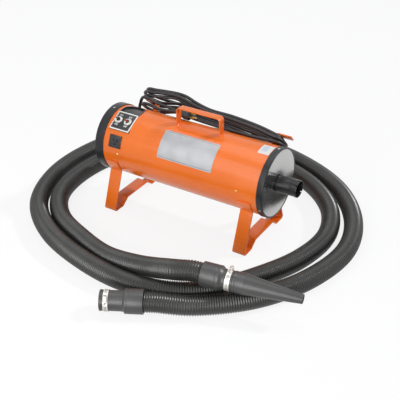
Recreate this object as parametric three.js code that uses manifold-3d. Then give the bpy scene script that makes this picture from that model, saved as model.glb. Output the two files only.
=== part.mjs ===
// A cylindrical force dryer: a steel barrel on two strap legs holds two motor units that
// blow through a spout at one end. A console with two toggle switches and a three-pin
// socket is let into the other end. The mains cord is wound on two hooks at the back,
// and the corrugated hose with its coupling and nozzle lies round the dryer on the floor.
//
// Units are millimetres, +Z is up, and the floor is Z = 0. The barrel lies along X with
// its intake end at -X, its outlet end at +X and its controls facing -Y.

import * as THREE from 'three';
import { mergeVertices } from 'three/addons/utils/BufferGeometryUtils.js';
import Module from 'manifold-3d';

const wasm = await Module();
wasm.setup();

// ---------------------------------------------------------------- driving dimensions

const fitGap = 0.3; // air between two solids that touch on the real dryer

// Barrel and end caps
const barrelRadius = 101.6;
const barrelWall = 2;
const bodyLength = 572; // over both end caps
const axisHeight = 196; // barrel axis above the floor
const capFace = 3;
const capSkirtWall = 2.1;
const capEdge = 1.5; // chamfer on the outer edge of a cap
const intakeSkirt = 30;
const outletSkirt = 19;
const intakeOpening = 74; // radius of the hole in the intake cap
const roundSegments = 60;
const smallRoundSegments = 32;

// Outlet spout
const spoutRadius = 24.8;
const spoutWall = 2.2;
const spoutReach = 64; // beyond the outlet cap
const spoutFlangeRadius = 37;
const spoutFlangeThickness = 3;
const spoutBead = 0.6;
const spoutBeadWidth = 6;

// Intake grille, filter and retainer
const grilleThickness = 2;
const grilleSlots = 12;
const grilleSlotWidth = 8;
const grilleHubRadius = 18;
const filterThickness = 12;
const retainerThickness = 2.5;
const retainerRim = 19.5;

// Motor units
const plateInset = 82; // middle of a motor plate's flange from the end
const plateFlangeWidth = 12;
const plateWall = 2.5;
const inletEyeRadius = 30;
const gasketThickness = 2;
const gasketOuterRadius = 64;
const gasketInnerRadius = 44;
const fanRoom = 27.6; // between the fan housing and the barrel
const fanLength = 54;
const fanWall = 2;
const motorRadius = 46;
const motorLength = 78;
const motorWall = 4;
const motorVents = 6;
const ventWidth = 14;
const shaftRadius = 4;
const bearingClearance = 0.1;
const impellerRoom = 8; // between the impeller and its housing
const impellerWidth = 22;
const armatureRadius = 30;
const armatureLength = 44;
const shaftOverhang = 6;

// Screws
const screwShankRadius = 2;
const screwHeadRadius = 3.8;
const screwHeadHeight = 2;
const screwReach = 7; // below the head
const capScrewCount = 3;
const intakeScrewAngle = -39; // degrees up from the front, first of the set
const outletScrewAngle = -26;

// Console: an arch-topped box let into the barrel. The switch plate is on its front face,
// and a shallow well fills the arch above the plate.
const consoleInset = 75; // middle of the console from the intake end
const consoleWidth = 71;
const consoleLowAngle = 40.5; // degrees up from the front
const consoleRidgeAngle = 77.5;
const consoleRearAngle = 111;
const consoleLowStand = 4; // lower edge proud of the barrel
const consoleStand = 1.2; // the rest of it
const consoleArch = 34; // height of the arch's round top
const consoleFacing = 76; // degrees up from the front; the way its sides run
const consoleDepth = 26.6; // of its open underside below the barrel's surface
const consoleWall = 1.6;
const wellRim = 3.5;
const wellDepth = 6;
const switchPlateThickness = 2;
const switchPlateMargin = 0.6;

// Toggle switches
const switchPlaces = [-19, 14]; // along X, from the middle of the plate
const switchRise = 2; // up the plate from its middle
const bushRadius = 5.9;
const bushBore = 4.6;
const bushLength = 10; // from the switch body's top to the bush's rim
const ringRadius = 12;
const ringThickness = 1;
const nutRadius = 8.4;
const nutThickness = 2.4;
const switchBody = { width: 24, depth: 15, height: 18 };
const leverBall = 3.4;
const leverNeck = 2.1;
const leverTip = 3;
const leverLength = 19; // from its pivot
const leverPivotDepth = 7; // below the bush's rim
const leverRest = 13; // degrees from upright in its off position

// Three-pin socket
const socketInset = 72; // middle of the socket from the intake end
const socketAngle = 21.5;
const socketWidth = 42;
const socketHeight = 38;
const socketStand = 2.4;
const socketBody = { width: 34, height: 30, depth: 22 };
const socketSlot = { width: 2.2, height: 8, spacing: 12.7, rise: 3 };
const socketEarth = { radius: 2.7, drop: 8.5 };
const socketHoleDepth = 15;

// Name plate and label, both plain
const namePlate = { middle: 28, length: 183, lowAngle: 17, highAngle: 66, thickness: 0.8 };
const labelInset = 40.5; // middle of the label from the outlet end
const label = { length: 40, lowAngle: 68, highAngle: 97, thickness: 0.5 };

// Handle
const handleCentre = 24;
const handleLength = 147;
const handleRise = 54.4; // above the barrel
const handleWidth = 25;
const handleStrap = 3;
const handleBend = 9;

// Legs: one strap each, from a tab on the barrel's front, under it, to a tab on its back
const legInset = 58; // middle of a leg from the end
const legWidth = 41;
const legStrap = 4;
const legTabTop = -16; // degrees up from the front
const legTabEnd = -41.6;
const footReach = 125; // outer face of a foot from the barrel's axis
const footFlatEnd = 80;
const footStepEnd = 54;
const footStepRise = 19.5;
const legBend = 7;

// Cord hooks
const leftHookInset = 96; // middle of the post from the intake end
const rightHookInset = 61; // and from the outlet end
const hookAngle = 42; // degrees up from the back
const hookWidth = 25;
const hookStrap = 4;
const hookHeight = 38; // above the barrel
const hookTip = 47; // from the middle of the post
const hookFoot = 24;
const hookBend = 6;

// Mains cord: a hank wound on both hooks, with the plug in front of it
const cordRadius = 5;
const cordSides = 8;
const hankInnerRadius = 25;
const hankBand = 21; // two cords side by side
const leftFoldInside = 0; // middle of the hank's round end, from the left hook inwards
const rightFoldInside = 6; // and from the right hook
const hankDrop = 9.5; // how far the hank hangs below the middle of the hooks
const hankLow = [37.4, 4]; // height over the barrel of its inner face, left and right
const hankHigh = [82, 40]; // and of its outer face
const plugRadius = 15;
const plugNeckRadius = 8;
const plugLength = 44;
const plugEnd = -38; // face that carries the blades, from the barrel's middle
const plugHeight = 5; // over the barrel, on which it rests
const plugAhead = 51.5; // in front of the hooks
const tailRun = 30; // length that lies along the hank
const tailBend = 42; // length over which it comes in to the hank
const tailRise = [4, 17, 39]; // halfway along that bend, at its end, and where the cord stops
const blade = { width: 6.3, thickness: 1.5, length: 18, spacing: 12.7 };
const earthPin = { radius: 2.4, length: 20, drop: 8 };

// Strain relief
const reliefInset = 136; // from the intake end
const reliefAngle = -10; // degrees up from the back
const reliefLength = 36;
const reliefNeckRadius = 8.6;
const reliefFlangeRadius = 11.5;
const reliefFlangeThickness = 2.5;
const reliefTipRadius = 6.4;
const reliefLip = 2; // width and thickness of the lip that holds it in its hole
const reliefLipGap = 0.9; // room for the flat lip inside the round barrel

// Hose, coupling and nozzle
const hoseRadius = 28.5;
const hoseWall = 2;
const hoseSides = 10;
const hoseSteps = 62;
const cuffRadius = 33.5;
const cuffLength = 48;
const neckRadius = 27.4;
const neckLength = 58;
const neckSlope = 4;
const rimRadius = 28.2;
const rimLength = 5;
const couplingBore = 25.7; // slides over the spout's bead
const nozzleCuffLength = 54;
const nozzleNeckLength = 28;
const nozzleCollarRadius = 28.8;
const nozzleCollarLength = 34;
const nozzleTipRadius = 12.6;
const nozzleConeLength = 150;
const nozzleWall = 2.2;
const nozzleStub = 24;

// Worm-drive hose clamps
const bandWidth = 13;
const bandThickness = 1.2;
const clampHousing = { length: 17, height: 8.6 };
const wormRadius = 2.9;
const wormLength = 21;
const wormHeadRadius = 4;
const wormHeadLength = 4.5;

// The hose on the floor: its ends, and the points that its middle passes between them,
// chosen by hand
const couplingMouth = [11, -527, 34];
const couplingHeading = 27.9; // degrees from +X
const nozzleBase = [218, -355, 91.5];
const nozzleTip = [478, -303, 80.5];
const hoseRoute = [
  [223, -415, 29], [343, -310, 29], [428, -167, 29], [465, 12, 29], [424, 173, 29],
  [317, 315, 29], [158, 408, 29], [-32, 452, 29], [-215, 434, 29], [-372, 358, 29],
  [-482, 232, 29], [-528, 75, 29], [-521, -85, 29], [-447, -236, 29], [-314, -344, 29],
  [-140, -405, 29], [12, -423, 29], [126, -402, 29], [227, -336, 29], [314, -212, 29],
  [373, -78, 29], [387, 60, 29], [340, 190, 29], [241, 292, 29], [100, 356, 29],
  [-60, 374, 29], [-212, 342, 29], [-340, 256, 29], [-416, 125, 29], [-437, -30, 29],
  [-413, -165, 29], [-336, -262, 29], [-214, -320, 29], [-98, -336, 34], [20, -350, 60],
  [112, -364, 83],
];

// The cord from the strain relief up to the hank: from the barrel's middle, and then over
// the barrel as its distance along, ahead of the hooks and out, both by hand
const leadRoute = [
  [-157, 154, -27], [-172, 160, -25], [-194, 159, -19], [-216, 151, -10], [-236, 140, 2],
  [-250, 127, 16], [-258, 114, 34],
];
const leadUpHooks = [
  [-260, -30, 9], [-257, -17, 10.5], [-250, -6, 15], [-241, 3, 20.5], [-229, 13, 25.5],
];
const leadEnd = [-213, 26]; // under the hank's left fold
const leadRoom = 0.6; // between the two

// ------------------------------------------------------------------- derived places

const bodyHalf = bodyLength / 2;
const consoleCentre = -bodyHalf + consoleInset;
const socketCentre = -bodyHalf + socketInset;
const reliefPlace = -bodyHalf + reliefInset;
const leftHookX = -bodyHalf + leftHookInset;
const rightHookX = bodyHalf - rightHookInset;
const hankLeftFold = leftHookX + leftFoldInside;
const hankRightFold = rightHookX - rightFoldInside;
const plateOffset = bodyHalf - plateInset;
const legOffset = bodyHalf - legInset;
const barrelBore = barrelRadius - barrelWall;
const fanRadius = barrelBore - fanRoom;
const impellerRadius = fanRadius - impellerRoom - fanWall;
const shellHalf = bodyHalf - capFace - fitGap;
const skirtInner = barrelRadius + fitGap;
const capRadius = skirtInner + capSkirtWall;
const degrees = THREE.MathUtils.degToRad;

// ------------------------------------------------------------------------ materials

const paint = (color, roughness, metalness = 0) =>
  new THREE.MeshStandardMaterial({ color, roughness, metalness });

const orangePaint = paint(0xf2651c, 0.3);
const blackPaint = paint(0x1b1c1e, 0.35);
const blackPlastic = paint(0x141416, 0.4);
const whiteEnamel = paint(0xe9e9e4, 0.45);
const steel = paint(0xb9bcbf, 0.3, 0.9);
const brass = paint(0xb8934a, 0.35, 0.9);
const foam = paint(0x2b2d30, 0.95);
const rubber = paint(0x202124, 0.75);
const hoseVinyl = paint(0x2a2a2b, 0.6);
const nameFoil = paint(0xc9cbcd, 0.35, 0.6);
const labelPaper = paint(0xeef2f6, 0.6);
const redPlastic = paint(0xb0332a, 0.4);
const gasketFelt = paint(0x4a4c4e, 0.9);
const motorSteel = paint(0x8f9294, 0.45, 0.8);

// -------------------------------------------------------------------------- helpers

// Shares vertices, drops empty triangles and turns every face outwards.
function weld(geometry) {
  const bare = geometry.clone();
  bare.deleteAttribute('normal');
  bare.deleteAttribute('uv');
  const merged = mergeVertices(bare, 1e-4);
  const point = (i) => new THREE.Vector3().fromBufferAttribute(merged.attributes.position, i);
  const corners = merged.index.array;
  const kept = [];
  let volume = 0;
  for (let i = 0; i < corners.length; i += 3) {
    const [a, b, c] = [corners[i], corners[i + 1], corners[i + 2]];
    if (a === b || b === c || c === a) continue;
    kept.push(a, b, c);
    volume += point(a).dot(point(b).cross(point(c)));
  }
  if (volume < 0) kept.reverse();
  merged.setIndex(kept);
  return merged;
}

function toManifold(geometry) {
  const welded = weld(geometry);
  return new wasm.Manifold(new wasm.Mesh({
    numProp: 3,
    vertProperties: new Float32Array(welded.attributes.position.array),
    triVerts: new Uint32Array(welded.index.array),
  }));
}

function fromManifold(manifold) {
  const mesh = manifold.getMesh();
  const geometry = new THREE.BufferGeometry();
  geometry.setAttribute('position', new THREE.BufferAttribute(mesh.vertProperties, 3));
  geometry.setIndex(new THREE.BufferAttribute(mesh.triVerts, 1));
  return geometry;
}

const cut = (base, ...tools) =>
  fromManifold(tools.reduce((rest, tool) => rest.subtract(toManifold(tool)), toManifold(base)));

const join = (base, ...more) =>
  fromManifold(more.reduce((sum, piece) => sum.add(toManifold(piece)), toManifold(base)));

const common = (a, b) => fromManifold(toManifold(a).intersect(toManifold(b)));

function part(name, geometry, material) {
  const mesh = new THREE.Mesh(weld(geometry), material);
  mesh.geometry.computeVertexNormals();
  mesh.name = name;
  return mesh;
}

function group(children, place = new THREE.Matrix4()) {
  const holder = new THREE.Group();
  holder.add(...children);
  holder.applyMatrix4(place);
  return holder;
}

// A solid of revolution about X. The profile lists [x, radius] and closes on itself,
// or starts and ends on the axis.
function turned(profile, segments = roundSegments) {
  const points = profile.map(([x, radius]) => new THREE.Vector2(radius, x));
  const onAxis = profile[0][1] === 0 && profile.at(-1)[1] === 0;
  if (!onAxis) points.push(points[0].clone());
  return new THREE.LatheGeometry(points, segments).rotateZ(-Math.PI / 2);
}

const rod = (x0, x1, radius, segments = 20) =>
  turned([[x0, 0], [x0, radius], [x1, radius], [x1, 0]], segments);

const tube = (x0, x1, inner, outer, segments) =>
  turned([[x0, inner], [x0, outer], [x1, outer], [x1, inner]], segments);

function extruded(shape, depth, curveSegments = 8) {
  return new THREE.ExtrudeGeometry(shape, { depth, bevelEnabled: false, curveSegments });
}

// A shape drawn as (y, z), drawn out along X.
function alongX(shape, x0, x1) {
  const turn = new THREE.Matrix4().makeBasis(
    new THREE.Vector3(0, 1, 0), new THREE.Vector3(0, 0, 1), new THREE.Vector3(1, 0, 0));
  return extruded(shape, x1 - x0).applyMatrix4(turn).translate(x0, 0, 0);
}

// A shape drawn as (x, z), drawn out along Y about Y = 0.
function acrossY(shape, width) {
  return extruded(shape, width).rotateX(Math.PI / 2).translate(0, width / 2, 0);
}

const block = (x0, x1, y0, y1, z0, z1) =>
  new THREE.BoxGeometry(x1 - x0, y1 - y0, z1 - z0)
    .translate((x0 + x1) / 2, (y0 + y1) / 2, (z0 + z1) / 2);

// The space that the barrel fills, for trimming what stands on it.
const barrelSpace = () => rod(-bodyHalf, bodyHalf, barrelRadius + fitGap, roundSegments);

// A point (y, z) at a radius from the barrel's axis and an angle up from its front.
const polar = (radius, angle) =>
  new THREE.Vector2(-radius * Math.cos(degrees(angle)), radius * Math.sin(degrees(angle)));

function arcPoints(radius, from, to, steps) {
  const points = [];
  for (let i = 0; i <= steps; i += 1) points.push(polar(radius, from + (to - from) * i / steps));
  return points;
}

// A curved sheet on the barrel, between two angles.
function wrappedSheet({ middle, length, lowAngle, highAngle, thickness }, steps) {
  const inner = barrelRadius + fitGap;
  const outline = [
    ...arcPoints(inner, lowAngle, highAngle, steps),
    ...arcPoints(inner + thickness, highAngle, lowAngle, steps),
  ];
  return alongX(new THREE.Shape(outline), middle - length / 2, middle + length / 2);
}

// A path of [a, b, bend radius] corners, with each bend as an arc.
function bentPath(corners) {
  const path = [];
  corners.forEach(([a, b, bend = 0], i) => {
    const here = new THREE.Vector2(a, b);
    if (!bend) {
      path.push(here);
      return;
    }
    const incoming = here.clone().sub(new THREE.Vector2(...corners[i - 1])).normalize();
    const outgoing = new THREE.Vector2(...corners[i + 1]).sub(here).normalize();
    const turn = Math.atan2(incoming.cross(outgoing), incoming.dot(outgoing));
    const reach = bend * Math.tan(Math.abs(turn) / 2);
    const start = here.clone().addScaledVector(incoming, -reach);
    const side = new THREE.Vector2(-incoming.y, incoming.x).multiplyScalar(Math.sign(turn));
    const centre = start.clone().addScaledVector(side, bend);
    const steps = Math.max(2, Math.ceil(Math.abs(turn) / degrees(18)));
    for (let k = 0; k <= steps; k += 1) {
      path.push(start.clone().rotateAround(centre, turn * k / steps));
    }
  });
  return path;
}

// The outline of a strap of even thickness along a path.
function strapShape(path, thickness) {
  const near = [];
  const far = [];
  path.forEach((here, i) => {
    const before = path[Math.max(i - 1, 0)];
    const after = path[Math.min(i + 1, path.length - 1)];
    const incoming = (i ? here.clone().sub(before) : after.clone().sub(here)).normalize();
    const outgoing = (i < path.length - 1 ? after.clone().sub(here) : incoming.clone()).normalize();
    const along = incoming.clone().add(outgoing).normalize();
    const normal = new THREE.Vector2(-along.y, along.x);
    const reach = thickness / 2 / along.dot(incoming);
    near.push(here.clone().addScaledVector(normal, reach));
    far.unshift(here.clone().addScaledVector(normal, -reach));
  });
  return new THREE.Shape([...near, ...far]);
}

// A convex outline with each side moved inwards by its own distance.
function insetOutline(points, distances) {
  const count = points.length;
  const centre = points.reduce((sum, p) => sum.add(p), new THREE.Vector2()).divideScalar(count);
  const sides = points.map((a, i) => {
    const along = points[(i + 1) % count].clone().sub(a).normalize();
    const inward = new THREE.Vector2(-along.y, along.x);
    if (inward.dot(centre.clone().sub(a)) < 0) inward.negate();
    return { from: a.clone().addScaledVector(inward, distances[i]), along };
  });
  return sides.map((side, i) => {
    const last = sides[(i + count - 1) % count];
    const reach = side.from.clone().sub(last.from).cross(side.along) / last.along.cross(side.along);
    return last.from.clone().addScaledVector(last.along, reach);
  });
}

// A round section swept along a path, hollow when it has a bore.
function swept(curve, radius, sides, steps, bore = 0) {
  const ring = (r) => Array.from({ length: sides }, (_, i) =>
    new THREE.Vector2(r, 0).rotateAround(new THREE.Vector2(), 2 * Math.PI * i / sides));
  const section = new THREE.Shape(ring(radius));
  if (bore) section.holes.push(new THREE.Path(ring(bore)));
  return new THREE.ExtrudeGeometry(section, { steps, extrudePath: curve, bevelEnabled: false });
}

const smoothCurve = (points) =>
  new THREE.CatmullRomCurve3(points.map((p) => new THREE.Vector3(...p)), false, 'centripetal');

// ---------------------------------------------------------------------------- screws

// A pan-head screw whose head seats on X = 0 and whose shank points to -X.
function panScrew() {
  const dome = screwHeadHeight;
  return turned([
    [-screwReach, 0], [-screwReach, screwShankRadius], [fitGap, screwShankRadius],
    [fitGap, screwHeadRadius], [fitGap + dome * 0.5, screwHeadRadius],
    [fitGap + dome, screwHeadRadius * 0.55], [fitGap + dome, 0],
  ], 10);
}

// Puts a piece that points along +X on the barrel at an angle up from its front.
const facingOut = (geometry, x, radius, angle) =>
  geometry.clone()
    .rotateZ(-Math.PI / 2)
    .translate(0, -radius, 0)
    .rotateX(-degrees(angle))
    .translate(x, 0, 0);

const screwHole = (x, angle) =>
  facingOut(rod(-screwReach - 4, 6, screwShankRadius + fitGap, 10), x, capRadius, angle);

const capScrews = (first) =>
  Array.from({ length: capScrewCount }, (_, i) => first + i * 360 / capScrewCount);

const intakeScrewX = -bodyHalf + intakeSkirt / 2;
const outletScrewX = bodyHalf - outletSkirt / 2;
const sideScrewAngles = [0, 180];

function makeScrews() {
  const screws = [];
  capScrews(intakeScrewAngle).forEach((angle, i) => screws.push(part(
    `intake_cap_screw_${i + 1}`, facingOut(panScrew(), intakeScrewX, capRadius, angle), steel)));
  capScrews(outletScrewAngle).forEach((angle, i) => screws.push(part(
    `outlet_cap_screw_${i + 1}`, facingOut(panScrew(), outletScrewX, capRadius, angle), steel)));
  for (const [end, x] of [['intake', -plateOffset], ['outlet', plateOffset]]) {
    sideScrewAngles.forEach((angle, i) => screws.push(part(
      `${end}_side_screw_${i + 1}`, facingOut(panScrew(), x, barrelRadius, angle), brass)));
  }
  return screws;
}

// ------------------------------------------------------------------- barrel and caps

function makeBarrel() {
  const shell = tube(-shellHalf, shellHalf, barrelBore, barrelRadius);
  const consoleHole = consoleSpace(fitGap);
  const reliefHole = facingOut(
    rod(-10, 10, reliefNeckRadius + fitGap), reliefPlace, barrelRadius, 180 - reliefAngle);
  const screwHoles = [
    ...capScrews(intakeScrewAngle).map((angle) => screwHole(intakeScrewX, angle)),
    ...capScrews(outletScrewAngle).map((angle) => screwHole(outletScrewX, angle)),
    ...sideScrewAngles.flatMap((angle) => [
      screwHole(-plateOffset, angle), screwHole(plateOffset, angle)]),
  ];
  return part('barrel_shell',
    cut(shell, consoleHole, socketSpace(), reliefHole, ...screwHoles), orangePaint);
}

// One end cap at +X: a face with a round hole, and a skirt over the barrel.
const capProfile = (hole, skirt) => [
  [bodyHalf - capFace, hole], [bodyHalf - capFace, skirtInner], [bodyHalf - skirt, skirtInner],
  [bodyHalf - skirt, capRadius], [bodyHalf - capEdge, capRadius],
  [bodyHalf, capRadius - capEdge], [bodyHalf, hole],
];

function makeCaps() {
  const mirrored = (profile) => profile.map(([x, radius]) => [-x, radius]);
  const intake = cut(turned(mirrored(capProfile(intakeOpening, intakeSkirt))),
    ...capScrews(intakeScrewAngle).map((angle) => screwHole(intakeScrewX, angle)));
  const outlet = cut(turned(capProfile(spoutRadius + fitGap, outletSkirt)),
    ...capScrews(outletScrewAngle).map((angle) => screwHole(outletScrewX, angle)));
  return [
    part('intake_end_cap', intake, blackPaint),
    part('outlet_end_cap', outlet, blackPaint),
  ];
}

// The spout passes through the cap and is held by a flange behind the cap's face.
function makeSpout() {
  const back = bodyHalf - capFace - fitGap;
  const bore = spoutRadius - spoutWall;
  const tip = bodyHalf + spoutReach;
  return part('outlet_spout', turned([
    [back - spoutFlangeThickness, bore], [back - spoutFlangeThickness, spoutFlangeRadius],
    [back, spoutFlangeRadius], [back, spoutRadius],
    [tip - spoutBeadWidth, spoutRadius], [tip - spoutBeadWidth + spoutBead, spoutRadius + spoutBead],
    [tip - spoutBead, spoutRadius + spoutBead], [tip, spoutRadius], [tip, bore],
  ], smallRoundSegments), blackPlastic);
}

function makeIntake() {
  const radius = barrelBore - fitGap;
  const front = -bodyHalf + capFace + fitGap;
  const rim = new THREE.Path().absarc(0, 0, radius, 0, 2 * Math.PI);
  const disc = new THREE.Shape(rim.getPoints(roundSegments));
  for (let i = 0; i < grilleSlots; i += 1) {
    const slot = new THREE.Path();
    const half = grilleSlotWidth / 2;
    slot.absarc(grilleHubRadius + half, 0, half, Math.PI / 2, 1.5 * Math.PI);
    slot.absarc(intakeOpening - grilleSlotWidth, 0, half, -Math.PI / 2, Math.PI / 2);
    const turn = 2 * Math.PI * i / grilleSlots;
    disc.holes.push(new THREE.Path(
      slot.getPoints(3).map((p) => p.rotateAround(new THREE.Vector2(), turn))));
  }
  const filterAt = front + grilleThickness + fitGap;
  const retainerAt = filterAt + filterThickness + fitGap;
  return [
    part('intake_grille', alongX(disc, front, front + grilleThickness), blackPaint),
    part('air_filter',
      rod(filterAt, filterAt + filterThickness, capRadius - screwReach - fitGap, 48), foam),
    part('filter_retainer',
      tube(retainerAt, retainerAt + retainerThickness, radius - retainerRim, radius), steel),
  ];
}

// ----------------------------------------------------------------------- motor units

// One motor unit, drawn for the intake end: the plate is at -plateOffset and the motor
// reaches towards the barrel's middle. The notches are cut out of the plate.
function makeMotorUnit(end, notches) {
  const plateRadius = barrelBore - fitGap;
  const flange = [-plateOffset - plateFlangeWidth / 2, -plateOffset + plateFlangeWidth / 2];
  const plate = cut(turned([
    [flange[0], plateRadius - plateWall], [flange[0], plateRadius], [flange[1], plateRadius],
    [flange[1], inletEyeRadius], [flange[1] - plateWall, inletEyeRadius],
    [flange[1] - plateWall, plateRadius - plateWall],
  ]), ...sideScrewAngles.map((angle) => screwHole(-plateOffset, angle)), ...notches);

  const gasketAt = flange[1] + fitGap;
  const fanAt = gasketAt + gasketThickness + fitGap;
  const fanEnd = fanAt + fanLength;
  const fan = turned([
    [fanAt, inletEyeRadius], [fanAt, fanRadius], [fanEnd, fanRadius],
    [fanEnd, motorRadius - motorWall], [fanEnd - fanWall, motorRadius - motorWall],
    [fanEnd - fanWall, fanRadius - fanWall], [fanAt + fanWall, fanRadius - fanWall],
    [fanAt + fanWall, inletEyeRadius],
  ], smallRoundSegments);

  const motorAt = fanEnd + fitGap;
  const motorEnd = motorAt + motorLength;
  const bearing = shaftRadius + bearingClearance;
  const vents = Array.from({ length: motorVents }, (_, i) =>
    block(motorEnd - motorLength * 0.35, motorEnd - motorWall * 2,
      -ventWidth / 2, ventWidth / 2, armatureRadius, motorRadius + 5)
      .rotateX(2 * Math.PI * i / motorVents));
  const frame = cut(turned([
    [motorAt, bearing], [motorAt, motorRadius], [motorEnd, motorRadius], [motorEnd, bearing],
    [motorEnd - motorWall, bearing], [motorEnd - motorWall, motorRadius - motorWall],
    [motorAt + motorWall, motorRadius - motorWall], [motorAt + motorWall, bearing],
  ], 24), ...vents);

  const impellerAt = (fanAt + fanEnd - impellerWidth) / 2;
  const armatureAt = (motorAt + motorEnd - armatureLength) / 2;
  const rotor = turned([
    [impellerAt - shaftOverhang, 0], [impellerAt - shaftOverhang, shaftRadius],
    [impellerAt, shaftRadius], [impellerAt, impellerRadius],
    [impellerAt + impellerWidth, impellerRadius], [impellerAt + impellerWidth, shaftRadius],
    [armatureAt, shaftRadius], [armatureAt, armatureRadius],
    [armatureAt + armatureLength, armatureRadius], [armatureAt + armatureLength, shaftRadius],
    [motorEnd + shaftOverhang, shaftRadius], [motorEnd + shaftOverhang, 0],
  ], 24);

  return group([
    part(`motor_plate_${end}`, plate, motorSteel),
    part(`motor_gasket_${end}`,
      tube(gasketAt, gasketAt + gasketThickness, gasketInnerRadius, gasketOuterRadius, 32), gasketFelt),
    part(`fan_housing_${end}`, fan, motorSteel),
    part(`motor_frame_${end}`, frame, motorSteel),
    part(`motor_rotor_${end}`, rotor, steel),
  ]);
}

function makeMotors() {
  return [
    makeMotorUnit('intake', [consoleSpace(fitGap), socketSpace()]),
    group([makeMotorUnit('outlet', [])], new THREE.Matrix4().makeRotationZ(Math.PI)),
  ];
}

// --------------------------------------------------------------------------- console

const consoleLow = polar(barrelRadius + consoleLowStand, consoleLowAngle);
const consoleRidge = polar(barrelRadius + consoleStand, consoleRidgeAngle);
const plateSpan = consoleRidge.clone().sub(consoleLow);
const plateMiddle = consoleLow.clone().add(consoleRidge).multiplyScalar(0.5);

// The console's front face: +Z looks out of it, and +Y goes up it.
const consoleFace = new THREE.Matrix4()
  .makeRotationX(plateSpan.angle())
  .setPosition(consoleCentre, plateMiddle.x, plateMiddle.y);

// The space that the console takes up, grown on every side: arch-topped as seen from
// outside, with a lower side that points at the barrel's axis.
function consoleSpace(grow) {
  const half = consoleWidth / 2 + grow;
  const high = barrelRadius * Math.sin(degrees(consoleRearAngle - consoleFacing)) + grow;
  const outline = new THREE.Shape();
  outline.moveTo(-half, -barrelRadius);
  outline.lineTo(half, -barrelRadius);
  outline.lineTo(half, high - consoleArch);
  outline.absellipse(0, high - consoleArch, half, consoleArch, 0, Math.PI);
  const arch = extruded(outline, 2 * barrelRadius)
    .rotateX(Math.PI / 2 - degrees(consoleFacing))
    .translate(consoleCentre, 0, 0);
  const shift = polar(grow, consoleLowAngle - 90);
  const [inner, outer] = [barrelRadius / 2, barrelRadius * 2];
  const wedge = alongX(new THREE.Shape([
    polar(inner, consoleLowAngle).add(shift), polar(outer, consoleLowAngle).add(shift),
    polar(outer, consoleFacing), polar(outer, consoleRearAngle + 10),
    polar(inner, consoleRearAngle + 10),
  ]), consoleCentre - consoleWidth, consoleCentre + consoleWidth);
  return common(arch, wedge);
}

const switchHole = (x, radius) =>
  rod(-10, 10, radius).rotateY(-Math.PI / 2).translate(x, switchRise, 0);

function makeConsoleBox() {
  const steps = 5;
  const wall = consoleWall;
  const depthRadius = barrelRadius - consoleDepth;
  const outline = [
    consoleLow, ...arcPoints(barrelRadius + consoleStand, consoleRidgeAngle, consoleRearAngle, steps),
    polar(depthRadius * 0.8, consoleRearAngle), polar(depthRadius * 0.8, consoleLowAngle),
  ];
  const openSide = -wall; // the hollow runs out through the underside
  const walls = [wall, ...Array(steps).fill(wall + wellDepth), wall, openSide, wall];
  const x = [consoleCentre - consoleWidth, consoleCentre + consoleWidth];
  const box = common(alongX(new THREE.Shape(outline), ...x), consoleSpace(0));
  const hollow = common(
    alongX(new THREE.Shape(insetOutline(outline, walls)), ...x), consoleSpace(-wall));
  const floor = barrelRadius + consoleStand - wellDepth;
  const aboveWell = alongX(new THREE.Shape([
    ...arcPoints(floor, consoleRidgeAngle + 2, consoleRearAngle, steps),
    ...arcPoints(floor * 1.2, consoleRearAngle, consoleRidgeAngle + 2, steps),
  ]), ...x);
  const well = common(aboveWell, consoleSpace(-wellRim));
  const underside = rod(-bodyHalf, bodyHalf, depthRadius, 48);
  const holes = switchPlaces.map((at) =>
    switchHole(at, bushRadius + fitGap).applyMatrix4(consoleFace));
  return part('console_box', cut(box, hollow, well, underside, ...holes), blackPaint);
}

function makeSwitchPlate() {
  const width = consoleWidth - 2 * switchPlateMargin;
  const height = plateSpan.length() - 2 * switchPlateMargin;
  const plate = block(-width / 2, width / 2, -height / 2, height / 2,
    fitGap, fitGap + switchPlateThickness);
  return part('switch_plate',
    cut(plate, ...switchPlaces.map((x) => switchHole(x, bushRadius + fitGap))), whiteEnamel);
}

// One toggle switch on the console's front face, with +Z out of the face.
function makeSwitch(side, x) {
  const top = -consoleWall - fitGap;
  const rim = top + bushLength;
  const upright = (profile, segments) => turned(profile, segments).rotateY(-Math.PI / 2);
  const bodyBlock = block(
    -switchBody.width / 2, switchBody.width / 2, -switchBody.depth / 2, switchBody.depth / 2,
    top - switchBody.height, top);
  const bush = upright([[top - 1, 0], [top - 1, bushRadius], [rim, bushRadius], [rim, 0]], 20);
  const pivot = rim - leverPivotDepth;
  const boreEnd = pivot - leverBall - fitGap;
  const bore = upright([[boreEnd, 0], [boreEnd, bushBore], [rim + 1, bushBore], [rim + 1, 0]], 20);
  const plateTop = fitGap + switchPlateThickness;
  const nutTop = plateTop + fitGap + ringThickness + nutThickness;
  const ring = upright([
    [plateTop + fitGap, bushRadius + fitGap], [plateTop + fitGap, ringRadius],
    [plateTop + fitGap + ringThickness, ringRadius], [plateTop + fitGap + ringThickness, nutRadius],
    [nutTop, nutRadius], [nutTop, bushRadius + fitGap],
  ], 24);
  const lever = upright([
    [-leverBall, 0], [-leverBall * 0.7, leverBall * 0.7], [0, leverBall],
    [leverBall * 0.7, leverBall * 0.7], [leverBall, leverNeck],
    [leverLength - leverTip, leverTip], [leverLength - leverTip * 0.4, leverTip * 0.8],
    [leverLength, 0],
  ], 16);
  const leverMesh = part(`switch_lever_${side}`, lever, redPlastic);
  leverMesh.position.z = pivot;
  leverMesh.rotation.x = degrees(leverRest);
  return group([
    part(`switch_body_${side}`, cut(join(bodyBlock, bush), bore), blackPlastic),
    part(`switch_ring_${side}`, ring, whiteEnamel),
    leverMesh,
  ], new THREE.Matrix4().setPosition(x, switchRise, 0));
}

function makeConsole() {
  const switches = group([
    makeSwitchPlate(),
    makeSwitch('left', switchPlaces[0]),
    makeSwitch('right', switchPlaces[1]),
  ], consoleFace);
  return [makeConsoleBox(), switches];
}

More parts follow.
